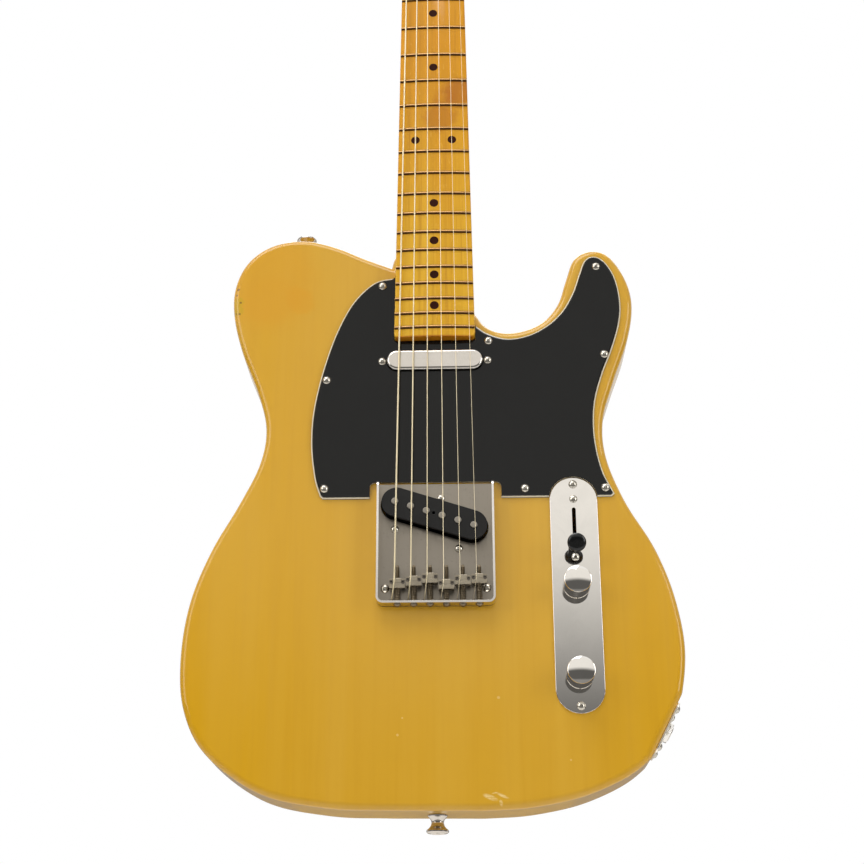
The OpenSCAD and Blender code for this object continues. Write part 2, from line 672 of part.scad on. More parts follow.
module string_trees() upright() color("#cccccc") for (k = [0, 1])
    translate([tree_x[k], tree_y[k], head_face]) difference() {
        union() {
            cylinder(h = tree_gap + 1.8, d = 4);
            translate([-6, -2.5, tree_gap + 0.6]) cube([12, 5, 1.2]);
        }
        translate([0, 0, -e]) cylinder(h = 8, d = 2.2);
    }

module head_screws() upright() color("#c8c8c8") {
    for (k = [0, 1]) translate([tree_x[k], tree_y[k], head_face + tree_gap + 1.8])
        screw(tiny_head, tiny_shank, 12);
    for (i = [0 : 5]) on_tuner(i) translate([0, -lug_screw, -lug_t]) rotate([180, 0, 0])
        screw(tiny_head, tiny_shank, 7.5);
}

case = [15, 17.6, 9.6];
case_wall = 1.2;
lug_t = 1.4;
lug_screw = 9.8;
worm_shaft_d = 3.2;
case_at = [-6.6, -6.4];
button_from = tuner_edge + 3.6;
module tuner_housings() upright() color("#c2c2c2") for (i = [0 : 5]) on_tuner(i) difference() {
    union() {
        translate([case_at.x, case_at.y, -case.z]) cube(case);
        translate([-4, -12, -lug_t]) cube([8, 7, lug_t]);
        translate([case_at.x + case.x - e, worm_reach, gear_z - head_back])
            rotate([0, 90, 0]) cylinder(h = 2.6, d = 6.4);
    }
    translate([case_at.x, case_at.y, -case.z] + [1, 1, 1] * case_wall)
        cube(case - [2, 2, 2] * case_wall);
    translate([0, 0, -2]) cylinder(h = 3, d = post_d + 2 * slip);
    translate([0, worm_reach, gear_z - head_back]) rotate([0, 90, 0])
        cylinder(h = 20, d = worm_shaft_d + 2 * slip);
    translate([0, -lug_screw, -3]) cylinder(h = 5, d = 2.3);
}

module tuner_bushings() upright() color("#cfcfcf") for (i = [0 : 5]) at(post_at(i), 0)
    difference() {
        union() {
            translate([0, 0, head_back + 4]) cylinder(h = head_thick - 4 + e, d = 9.1);
            translate([0, 0, head_face]) cylinder(h = bush_flange, d = 13);
            translate([0, 0, head_face + bush_flange - e])
                cylinder(h = bush_hex, d = 10 / cos(30), $fn = 6);
        }
        translate([0, 0, head_back]) cylinder(h = head_thick + 5, d = post_d + 2 * slip);
    }

// Post with its worm wheel, and the turns of string that it carries
module tuner_post(i) upright() at(post_at(i), 0) {
    color("#d0d0d0") difference() {
        union() {
            translate([0, 0, head_back - 7]) cylinder(h = 7 + head_thick + post_height, d = post_d);
            translate([0, 0, gear_z - 1.8]) difference() {
                cylinder(h = 3.6, d = 9);
                for (k = [0 : 13]) rotate(k * 360 / 14) translate([4.5, 0, -e])
                    cylinder(h = 4, d = 1, $fn = 16);
            }
        }
        translate([0, 0, head_face + 7.6]) rotate([90, 0, 0])
            cylinder(h = 20, d = 1.8, center = true);
        rotate_extrude() translate([post_d / 2 + 6, wrap_low + 2]) circle(r = 6.3);
    }
    color("#b8b0a0") for (k = [0 : winding[i] - 1])
        translate([0, 0, wrap_z(i) - wrap_gap * k * gauges[i]]) rotate_extrude()
            translate([wrap_r(i), 0]) circle(d = gauges[i], $fn = 24);
}

module tuner_post_1() tuner_post(0);
module tuner_post_2() tuner_post(1);
module tuner_post_3() tuner_post(2);
module tuner_post_4() tuner_post(3);
module tuner_post_5() tuner_post(4);
module tuner_post_6() tuner_post(5);

// Button on its shaft, with the worm
module tuner_button(i) upright() color("#cdcdcd") on_tuner(i)
    translate([0, worm_reach, gear_z - head_back]) rotate([0, 90, 0]) {
        translate([0, 0, -5]) cylinder(h = button_from + 7, d = worm_shaft_d);
        translate([0, 0, -4]) cylinder(h = 8, d = 4.4);
        translate([0, 0, button_from - 1.5]) cylinder(h = 4, d = 5.4);
        translate([0, 0, button_from + 5.5]) intersection() {
            rotate([0, 90, 0]) linear_extrude(6.4, center = true)
                rotate(90) stadium(button_len, 11);
            rotate([90, 0, 0]) cylinder(h = 2 * button_len, r = 6.1, center = true);
        }
    }

module tuner_button_1() tuner_button(0);
module tuner_button_2() tuner_button(1);
module tuner_button_3() tuner_button(2);
module tuner_button_4() tuner_button(3);
module tuner_button_5() tuner_button(4);
module tuner_button_6() tuner_button(5);

// ---------------------------------------------------------------- strings
end_gap = 0.25;
function post_stop(i) = sqrt(pow(wrap_r(i) + gauges[i] + end_gap, 2) - pow(wrap_r(i), 2));
module string(i) {
    p = post_at(i);
    g = gauges[i];
    in_hole = [hole_x(i), string_hole_y];
    tree = i < 2 ? [] : [let (k = floor(i / 2) - 1)
        [string_x(i, tree_y[k]), tree_y[k], head_face + tree_gap + 0.5 - g / 2 - 0.05]];
    wire(concat(
        [[in_hole.x, in_hole.y, back + 5], [in_hole.x, in_hole.y, face + bridge_sheet + 0.4],
            crest(i), at_nut(i)], tree,
        [[p.x + wrap_r(i), p.y - post_stop(i), wrap_z(i) + 0.4]]), g);
    translate([in_hole.x, in_hole.y, back + 4.6]) rotate([0, 90, 0]) cylinder(h = 2.8, d = 4,
        center = true);
}
module wound_strings() upright() color("#b9ae9c") for (i = [0 : 2]) string(i);
module plain_strings() upright() color("#d4d4d4") for (i = [3 : 5]) string(i);

// ---------------------------------------------------------------- neck pickup
cover_top = face + 5.5;
cover_h = 16;
cover_wall = 0.6;
module neck_pickup_cover() upright() color("#dedede") translate([0, neck_pickup_y, 0])
    difference() {
        translate([0, 0, cover_top - cover_h]) linear_extrude(cover_h)
            stadium(neck_pickup_l, neck_pickup_w);
        translate([0, 0, cover_top - cover_h - e]) linear_extrude(cover_h - cover_wall)
            stadium(neck_pickup_l - 2 * cover_wall, neck_pickup_w - 2 * cover_wall);
    }

coil_gap = 0.6;
pole_d = 4.8;
pole_spread = nut_spread * 1.42;
module neck_pickup_coil() upright() color("#2c1c14") translate([0, neck_pickup_y, 0]) {
    l = neck_pickup_l - 2 * cover_wall - 2 * coil_gap;
    w = neck_pickup_w - 2 * cover_wall - 2 * coil_gap;
    difference() {
        union() {
            translate([0, 0, cover_top - cover_h + 1]) linear_extrude(1.4) stadium(l, w);
            translate([0, 0, cover_top - cover_h + 2]) linear_extrude(10) stadium(l - 5, w - 3);
            translate([0, 0, cover_top - 4.6]) linear_extrude(1.4) stadium(l, w);
        }
        for (i = [0 : 5]) translate([pole_spread * (i / 5 - 0.5), 0, cover_top - cover_h])
            cylinder(h = cover_h - 1.8, d = pole_d + 0.1);
    }
}

// ---------------------------------------------------------------- bridge pickup
pickup_top = face + 8;
pickup_h = 16;
flat_t = 2.2;
pole_gap = 11.1;
module on_bridge_pickup() at(pickup_at, 0) rotate(-bridge_pickup_slant) children();

module pickup_plan(grow = 0) {
    stadium(bridge_pickup_l + 2 * grow, bridge_pickup_w + 2 * grow);
}

module base_plan() {
    stadium(bridge_pickup_l - 4, bridge_pickup_w + 2);
    for (p = pickup_screw_at) translate(p) circle(r = 5);
    for (p = pickup_screw_at) translate([p.x - 5, min(0, p.y)]) square([10, abs(p.y)]);
}

module pole_bores(z, h, gap) for (k = [0 : 5]) translate([pole_gap * (k - 2.5), 0, z])
    cylinder(h = h, d = pole_d + 2 * gap);

module bridge_pickup_flatwork() upright() color("#202020") on_bridge_pickup() difference() {
    union() {
        translate([0, 0, pickup_top - flat_t]) linear_extrude(flat_t) pickup_plan();
        translate([0, 0, pickup_top - pickup_h]) linear_extrude(flat_t) difference() {
            base_plan();
            for (p = pickup_screw_at) translate(p) circle(d = small_clear);
        }
        translate([0, 0, pickup_top - pickup_h + flat_t]) linear_extrude(pickup_h - 2 * flat_t)
            stadium(pole_gap * 5 + 6.6, 6.6);
    }
    pole_bores(pickup_top - pickup_h - e, pickup_h + 1, 0.02);
    translate([-0.4, 0, pickup_top - flat_t - e]) cylinder(h = flat_t + 1, d = 2);
}

module bridge_pickup_coil() upright() color("#2a2320") on_bridge_pickup()
    translate([0, 0, pickup_top - pickup_h + flat_t + 0.1])
        linear_extrude(pickup_h - 2 * flat_t - 0.2) difference() {
            stadium(bridge_pickup_l - 5, bridge_pickup_w - 4);
            stadium(pole_gap * 5 + 7, 7);
        }

module bridge_pickup_poles() upright() color("#b4b0a8") {
    on_bridge_pickup() pole_bores(pickup_top - pickup_h - 0.5, pickup_h + 1.1, 0);
    for (i = [0 : 5])
        translate([pole_spread * (i / 5 - 0.5), neck_pickup_y, cover_top - cover_h + 0.9])
            cylinder(h = cover_h - 3.2, d = pole_d);
}

// Base plates of the two pickups, with the ears that their screws hold
module pickup_base() upright() color("#a8895a") {
    on_bridge_pickup() translate([0, 0, pickup_top - pickup_h - 2.1]) linear_extrude(1.5)
        difference() {
            base_plan();
            for (p = pickup_screw_at) translate(p) circle(d = small_clear);
        }
    translate([0, neck_pickup_y, cover_top - cover_h - 1.3]) linear_extrude(1.2) difference() {
        stadium(neck_ear * 2 + 9, neck_pickup_w - 3);
        for (s = [-1, 1]) translate([s * neck_ear, 0]) circle(d = 3);
    }
}

module machine_screws() upright() color("#c8c8c8") {
    on_bridge_pickup() for (p = pickup_screw_at) translate([p.x, p.y, face + bridge_sheet])
        screw(machine_head, machine_shank, 17);
    for (p = switch_screws) at(p, face + control_sheet) screw(machine_head, machine_shank, 8);
    for (s = [-1, 1]) translate([s * neck_ear, neck_pickup_y, face + guard_thick])
        screw(machine_head, machine_shank, 25);
}

// A coil spring as one sleeve of rounded turns
module spring(l, d, pitch, bar) rotate_extrude() {
    translate([d / 2 - bar / 2 - 0.1, 0]) square([0.2, l]);
    for (k = [0 : floor((l - bar) / pitch)]) translate([d / 2 - bar / 2, bar / 2 + k * pitch])
        circle(d = bar, $fn = 16);
}

spring_d = 5;
spring_pitch = 1.2;
spring_bar = 0.6;
module pickup_springs() upright() color("#a0a0a0") {
    on_bridge_pickup() for (p = pickup_screw_at)
        translate([p.x, p.y, pickup_top - pickup_h + flat_t + 0.1])
            spring(face - 0.2 - (pickup_top - pickup_h + flat_t), spring_d, spring_pitch, spring_bar);
    for (s = [-1, 1]) translate([s * neck_ear, neck_pickup_y, cover_top - cover_h + 0.1])
        spring(face - 0.2 - (cover_top - cover_h), spring_d, spring_pitch, spring_bar);
}

// ---------------------------------------------------------------- bridge
bridge_round = 4.5;
front_band = 10;          // square-cornered stretch at the open front
module bridge_plan(grow) {
    translate([0, bridge_front - front_band / 2])
        square([bridge_w + 2 * grow, front_band], center = true);
    translate([0, (bridge_front + bridge_rear) / 2 - 2.5])
        round_rect(bridge_w + 2 * grow, bridge_l - 5 + 2 * grow, bridge_round + grow);
}

module bridge_plate() upright() color("#cdcdcd") difference() {
    translate([0, 0, face]) linear_extrude(bridge_wall) bridge_plan(0);
    translate([0, 0, face + bridge_sheet]) linear_extrude(bridge_wall) bridge_plan(-bridge_sheet);
    translate([-bridge_w / 2 + bridge_sheet, bridge_front - 6, face + bridge_sheet])
        cube([bridge_w - 2 * bridge_sheet, 10, bridge_wall]);
    at(pickup_at, face - e) rotate(-bridge_pickup_slant) linear_extrude(bridge_sheet + 2 * e)
        pickup_plan(0.75);
    on_bridge_pickup() for (p = pickup_screw_at) translate([p.x, p.y, face - e])
        cylinder(h = bridge_sheet + 2 * e, d = small_clear);
    for (p = bridge_screw_at) at(p, face - e) cylinder(h = bridge_sheet + 2 * e, d = 4.2);
    for (i = [0 : 5]) {
        translate([hole_x(i), string_hole_y, face - e])
            cylinder(h = bridge_sheet + 2 * e, d = string_hole_d);
        translate([bridge_x(i) + screw_x, bridge_rear - e, screw_z]) rotate([-90, 0, 0])
            cylinder(h = bridge_sheet + 2 * e, d = 3.2);
    }
}

module bridge_screws() upright() color("#c8c8c8") for (p = bridge_screw_at)
    at(p, face + bridge_sheet) screw(6, wood_shank, 25, 0.26);

function saddle_top(i) = crest(i).z - gauges[i] / 2 - 0.03;
saddle_len = 5.4;
nose = 1;                 // front of a saddle, ahead of the string's bend
saddle_back = nose - saddle_len;
height_x = saddle_w / 2 - 1.35;
height_y = -1.2;
height_d = 2.2;
intonation_d = 2.8;
coil_d = 4.2;
saddle_foot = face + bridge_sheet + 2.1;
hump_w = 5.3;
// Bent sheet that slopes down behind the string's bend and ends in an upright leg
module saddle(i) {
    top = saddle_top(i);
    translate([crest(i).x + screw_x, crest(i).y, 0]) difference() {
        rotate([90, 0, 90]) {
            linear_extrude(saddle_w, center = true) polygon([
                [saddle_back, saddle_foot], [saddle_back + saddle_sheet, saddle_foot],
                [saddle_back + saddle_sheet, top - 5.9], [0, top - 3.3], [nose, top - 3.3],
                [nose, top - 1.4], [-0.2, top - 1.4], [saddle_back, top - 5.2]]);
            linear_extrude(hump_w, center = true) polygon([
                [-1.5, top - 2.6], [nose, top - 2.6], [nose, top - 0.35], [nose - 0.25, top - 0.02],
                [0.45, top - 0.02], [-1.5, top - 1.95]]);
        }
        for (s = [-1, 1]) translate([s * height_x, height_y, top - 9])
            cylinder(h = 10, d = height_d + 2 * slip);
        translate([0, saddle_back - 1, screw_z]) rotate([-90, 0, 0])
            cylinder(h = 10, d = intonation_d + 2 * slip);
    }
}
module saddles() upright() color("#c9c6be") for (i = [0 : 5]) saddle(i);

module saddle_height_screws() upright() color("#8d8a84") for (i = [0 : 5], s = [-1, 1])
    translate([crest(i).x + screw_x + s * height_x, crest(i).y + height_y, face + bridge_sheet])
        difference() {
            cylinder(h = saddle_top(i) - face - bridge_sheet - 1, d = height_d);
            translate([0, 0, saddle_top(i) - face - bridge_sheet - 2.2])
                cylinder(h = 3, d = height_d * 0.55 / cos(30), $fn = 6);
        }

screw_tip = 6.5;          // end of an intonation screw, ahead of the string's bend
module intonation_screws() upright() color("#bfbcb4") for (i = [0 : 5])
    translate([bridge_x(i) + screw_x, bridge_rear, screw_z]) rotate([-90, 0, 0]) {
        rotate([180, 0, 0]) screw(5.2, intonation_d, intonation_d + 0.6, 0.36);
        cylinder(h = crest(i).y + screw_tip - bridge_rear, d = intonation_d);
    }

module intonation_springs() upright() color("#b0ada6") for (i = [0 : 5])
    translate([bridge_x(i) + screw_x, bridge_rear + bridge_sheet + 0.05, screw_z])
        rotate([-90, 0, 0])
            spring(crest(i).y + saddle_back - bridge_rear - bridge_sheet - 0.1, coil_d, 1.3,
                spring_bar);

// ---------------------------------------------------------------- controls
pot_thread = 9.4;
module control_plate() upright() color("#dadada") difference() {
    translate([control_x, control_y, face]) linear_extrude(control_sheet) rotate(90)
        stadium(control_l, control_w);
    for (p = concat(control_screws, switch_screws)) at(p, face - e) cylinder(h = 5, d = small_clear);
    for (y = [volume_y, tone_y]) translate([control_x, y, face - e]) cylinder(h = 5, d = pot_thread + 0.2);
    translate([control_x, switch_y, face - e]) linear_extrude(5) rotate(90) stadium(slot_l, slot_w);
}

nut_af = 12.7;
nut_h = 2.2;
set_height = 7;
set_d = 2.9;
washer_t = 0.6;
knob_from = face + control_sheet + 0.8;
shaft_top = knob_from + knob_h - 4.5;
module knob(y) translate([control_x, y, knob_from]) difference() {
    intersection() {
        cylinder(h = knob_h, d = knob_d);
        translate([0, 0, knob_h - 26]) sphere(r = 26, $fn = 96);
    }
    translate([0, 0, -e]) cylinder(h = nut_h + washer_t + 1, d = nut_af / cos(30) + 1.2);
    cylinder(h = shaft_top - knob_from + 0.2, d = shaft_d + 2 * slip);
    translate([0, 0, set_height]) rotate([0, 90, 0]) cylinder(h = knob_d, d = set_d + 0.1);
}
module set_screw(y) translate([control_x + shaft_d / 2 + 0.1, y, knob_from + set_height])
    rotate([0, 90, 0]) cylinder(h = 4.6, d = set_d);
module volume_knob() upright() color("#d8d8d8") { knob(volume_y); set_screw(volume_y); }
module tone_knob() upright() color("#d8d8d8") { knob(tone_y); set_screw(tone_y); }

pot_d = 24;
pot_h = 9;
pot_top = face - 1.6;
wiper_z = pot_top - pot_h + 2;
wiper_d = 14;
module pot_shaft(y) translate([control_x, y, wiper_z]) {
    cylinder(h = shaft_top - wiper_z, d = shaft_d);
    cylinder(h = 1.6, d = wiper_d);
}
module volume_shaft() upright() color("#b8b8b0") pot_shaft(volume_y);
module tone_shaft() upright() color("#b8b8b0") pot_shaft(tone_y);

module pot_housings() upright() color("#9c9c94") for (y = [volume_y, tone_y])
    translate([control_x, y, 0]) {
        difference() {
            union() {
                translate([0, 0, pot_top - pot_h]) cylinder(h = pot_h, d = pot_d);
                translate([0, 0, pot_top - e])
                    cylinder(h = face + control_sheet + nut_h + washer_t - pot_top, d = pot_thread);
            }
            translate([0, 0, pot_top - pot_h + 1]) cylinder(h = pot_h - 2, d = pot_d - 2);
            translate([0, 0, pot_top - 2]) cylinder(h = 20, d = shaft_d + 2 * slip);
        }
        for (k = [-1, 0, 1]) translate([-pot_d / 2 - 0.8, k * 5 - 1, pot_top - pot_h - 4])
            cube([0.8, 2, 9]);
    }

jack_out = jack_sheet + washer_t;
module hex_nuts() upright() color("#d0d0d0") {
    for (y = [volume_y, tone_y]) translate([control_x, y, face + control_sheet + washer_t])
        hex(nut_af, nut_h, pot_thread + 0.1);
    for (y = [volume_y, tone_y]) translate([control_x, y, face + control_sheet]) difference() {
        cylinder(h = washer_t, d = nut_af + 1.6);
        translate([0, 0, -e]) cylinder(h = washer_t + 2 * e, d = pot_thread + 0.1);
    }
    on_jack_flat() {
        translate([0, 0, jack_out]) hex(nut_af, nut_h, pot_thread + 0.1);
        translate([0, 0, jack_sheet]) difference() {
            cylinder(h = washer_t, d = nut_af + 2.6);
            translate([0, 0, -e]) cylinder(h = washer_t + 2 * e, d = pot_thread + 0.1);
        }
    }
}

// Three-way lever switch under the control plate
pivot_depth = 22.2;
pivot_z = face - pivot_depth;
lever_tilt = 21;
lever_t = 1.6;
lever_w = 4.8;
pivot_d = 3;
tip_d = 12.4;
module on_lever() translate([control_x, switch_y, pivot_z]) rotate([lever_tilt, 0, 0]) children();

module switch_frame() upright() color("#b5ad9a") difference() {
    translate([control_x, switch_y, 0]) {
        translate([-5.5, -24.5, face - 1.4]) cube([11, 49, 1.3]);
        for (s = [-1, 1]) translate([s * 4.9 - 0.6, -19, face - 28]) cube([1.2, 38, 27]);
        translate([-11.6, -17, face - 31]) cube([1.4, 34, 19]);
        translate([-11.6, -3, face - 14]) cube([7, 6, 1.4]);
    }
    translate([control_x, switch_y, face - 2]) linear_extrude(3) rotate(90)
        stadium(slot_l + 1, 5);
    for (p = switch_screws) at(p, face - 4) cylinder(h = 5, d = 3);
    translate([control_x - 8, switch_y, pivot_z]) rotate([0, 90, 0]) cylinder(h = 16, d = pivot_d + 0.1);
}

module switch_lever() upright() color("#b8b8b0") on_lever() {
    difference() {
        translate([-lever_t / 2, -lever_w / 2, -3]) cube([lever_t, lever_w, pivot_depth + 20]);
        rotate([0, 90, 0]) cylinder(h = 20, d = 0.5, center = true);
    }
    rotate([0, 90, 0]) cylinder(h = 12.4, d = pivot_d, center = true);
    rotate([0, 90, 0]) cylinder(h = lever_t + 3, d = 9, center = true);
}

tip_from = pivot_depth + 9.6;
module switch_tip() upright() color("#101010") on_lever() difference() {
    union() {
        translate([0, 0, tip_from]) cylinder(h = 10, d = 8);
        translate([0, 0, tip_from + 9]) cylinder(h = 3, d = tip_d);
        translate([0, 0, tip_from + 12 - e]) intersection() {
            cylinder(h = 1.4, d = tip_d);
            translate([0, 0, 1.4 - 16]) sphere(r = 16);
        }
    }
    translate([-lever_t / 2 - slip, -lever_w / 2 - slip, tip_from - e])
        cube([lever_t + 2 * slip, lever_w + 2 * slip, pivot_depth + 17 + slip - tip_from]);
}

// ---------------------------------------------------------------- output jack
module jack_plate() upright() color("#d6d6d6") on_jack_flat() difference() {
    linear_extrude(jack_sheet) round_rect(jack_plate_w, jack_plate_w, 4);
    translate([0, 0, -e]) cylinder(h = jack_sheet + 2 * e, d = pot_thread + 0.2);
    for (x = [-1, 1], y = [-1, 1]) translate([x * jack_screw, y * jack_screw, -e])
        cylinder(h = jack_sheet + 2 * e, d = small_clear);
}

collar_d = 16;
lug_w = 14;
leaf_t = 0.7;
leaf_w = 4;
module output_jack() upright() color("#c0bcae") on_jack_flat() {
    difference() {
        union() {
            translate([0, 0, -4]) cylinder(h = jack_out + nut_h + 4.6, d = pot_thread);
            translate([0, 0, -4]) cylinder(h = 3.9, d = collar_d);
            translate([-collar_d / 2, -lug_w / 2, -3]) cube([3, lug_w, 1.2]);
        }
        translate([0, 0, -5]) cylinder(h = 20, d = jack_bore_d);
    }
    // tip spring, folded to meet the plug's end
    translate([6.6, -leaf_w / 2, -26]) cube([leaf_t, leaf_w, 23]);
    translate([1.8, -leaf_w / 2, -26.6]) cube([5.5, leaf_w, leaf_t]);
    translate([1.8, -leaf_w / 2, -26]) rotate([0, -8, 0]) cube([leaf_t, leaf_w, 6]);
}

// ---------------------------------------------------------------- wiring
wire_d = 1.6;
capacitor_d = 8;
capacitor_l = 2 * capacitor_d;
wire_z = channel_z - 1;
board_x = control_x - 11.6;
lug_x = control_x - pot_d / 2 + 1.1;
pot_chord = 7.3;
pot_edge = sqrt(pot_d * pot_d / 4 - pot_chord * pot_chord) + 0.3;
module wiring() upright() {
    color("#d9d2bd") lead([[-2, neck_pickup_y - 3], [-2, bridge_rout_y + 1],
        [board_x - 0.3, bridge_rout_y + 1]], wire_d, wire_z);
    color("#222222") lead([[8, pickup_at.y - 9], [14, bridge_rout_y - 2.5],
        [board_x - 0.3, bridge_rout_y - 2.5]], wire_d, wire_z - 3.6);
    color("#a83226") lead([[lug_x, switch_y - 17.3], [lug_x, volume_y + 5]], wire_d, wire_z + 1);
    color("#1d4f8c") lead([[control_x + pot_chord, volume_y - pot_edge],
        [control_x + pot_chord, tone_y + pot_edge]], wire_d, face - 7);
    color("#222222") lead([[jack_at.x - 26.5, jack_at.y + 14.1], [control_x + 14, tone_y - 11],
        [control_x + 4, tone_y - 8]], wire_d, -wire_d / 2);
    color("#a8622a") translate([control_x - 2, (volume_y + tone_y) / 2, face - 14])
        rotate([90, 0, 0]) cylinder(h = capacitor_l, d = capacitor_d, center = true);
}

// ---------------------------------------------------------------- parts
body();
pickguard();
plate_screws();
neck_plate();
neck_screws();
strap_buttons();
strap_screws();
string_ferrules();
neck();
skunk_stripe();
truss_rod();
truss_rod_nut();
nut();
frets();
position_dots();
string_trees();
head_screws();
tuner_housings();
tuner_bushings();
tuner_post_1();
tuner_post_2();
tuner_post_3();
tuner_post_4();
tuner_post_5();
tuner_post_6();
tuner_button_1();
tuner_button_2();
tuner_button_3();
tuner_button_4();
tuner_button_5();
tuner_button_6();
wound_strings();
plain_strings();
neck_pickup_cover();
neck_pickup_coil();
bridge_pickup_flatwork();
bridge_pickup_coil();
bridge_pickup_poles();
pickup_base();
machine_screws();
pickup_springs();
bridge_plate();
bridge_screws();
saddles();
saddle_height_screws();
intonation_screws();
intonation_springs();
control_plate();
volume_knob();
tone_knob();
volume_shaft();
tone_shaft();
pot_housings();
hex_nuts();
switch_frame();
switch_lever();
switch_tip();
jack_plate();
output_jack();
wiring();
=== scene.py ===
"""Looks of a solid-body electric guitar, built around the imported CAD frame.

Every piece is modelled on the bench plane in millimetres, as the maker lays the guitar down: X across, Y from
the tail to the head, Z up out of the front. When a piece is finished, it is scaled to metres and stood on its
tail, which is the frame that the CAD bodies use.
"""

import logging
import math
from dataclasses import dataclass, field
from enum import Enum
from functools import cached_property
from typing import Callable, Iterable, Optional, Sequence

import bmesh
import bpy
from mathutils import Matrix, Vector


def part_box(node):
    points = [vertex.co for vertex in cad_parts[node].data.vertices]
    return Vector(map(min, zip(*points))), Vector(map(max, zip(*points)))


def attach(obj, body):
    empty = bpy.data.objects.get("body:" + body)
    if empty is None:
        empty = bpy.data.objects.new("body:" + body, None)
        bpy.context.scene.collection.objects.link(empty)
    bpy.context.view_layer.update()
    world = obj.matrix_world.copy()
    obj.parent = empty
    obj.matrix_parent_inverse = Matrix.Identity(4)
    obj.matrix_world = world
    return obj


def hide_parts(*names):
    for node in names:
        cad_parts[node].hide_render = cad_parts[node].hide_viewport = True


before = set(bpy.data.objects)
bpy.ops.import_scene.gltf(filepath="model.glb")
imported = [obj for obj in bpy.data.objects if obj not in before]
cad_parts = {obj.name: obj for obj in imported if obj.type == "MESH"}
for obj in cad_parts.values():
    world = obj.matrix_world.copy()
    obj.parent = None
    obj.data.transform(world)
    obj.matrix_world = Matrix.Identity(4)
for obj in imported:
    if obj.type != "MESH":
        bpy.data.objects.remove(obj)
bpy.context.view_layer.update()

log = logging.getLogger("guitar")

MM = 0.001
BENCH_TO_FRAME = Matrix.Scale(MM, 4) @ Matrix.Rotation(math.radians(90), 4, "X")
FRAME_TO_BENCH = BENCH_TO_FRAME.inverted()
ROOT = "guitar"

#: Points nearer to each other than this become one, in millimetres.
WELD = 0.0005
#: A point this near to the run between its neighbours shapes nothing, in millimetres.
SLACK = 0.004
#: An outline that turns by more than this at a point has a sharp corner there, in degrees.
CORNER = 24.0

Point = tuple[float, float]
Point3 = tuple[float, float, float]
Loop = list[Point]
Piece = bpy.types.Object
Socket = bpy.types.NodeSocket


# --- measures taken from the frame


def bench_box(node: str) -> tuple[Vector, Vector]:
    """The box of a CAD node on the bench plane.

    Args:
        node: name of the CAD node.

    Returns:
        Lowest and highest corner, in millimetres.
    """
    low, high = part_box(node)
    return Vector((low.x, low.z, -high.y)) / MM, Vector((high.x, high.z, -low.y)) / MM


def middle(node: str) -> Point3:
    """The middle of a CAD node's box on the bench plane."""
    return tuple((a + b) / 2 for a, b in zip(*bench_box(node)))


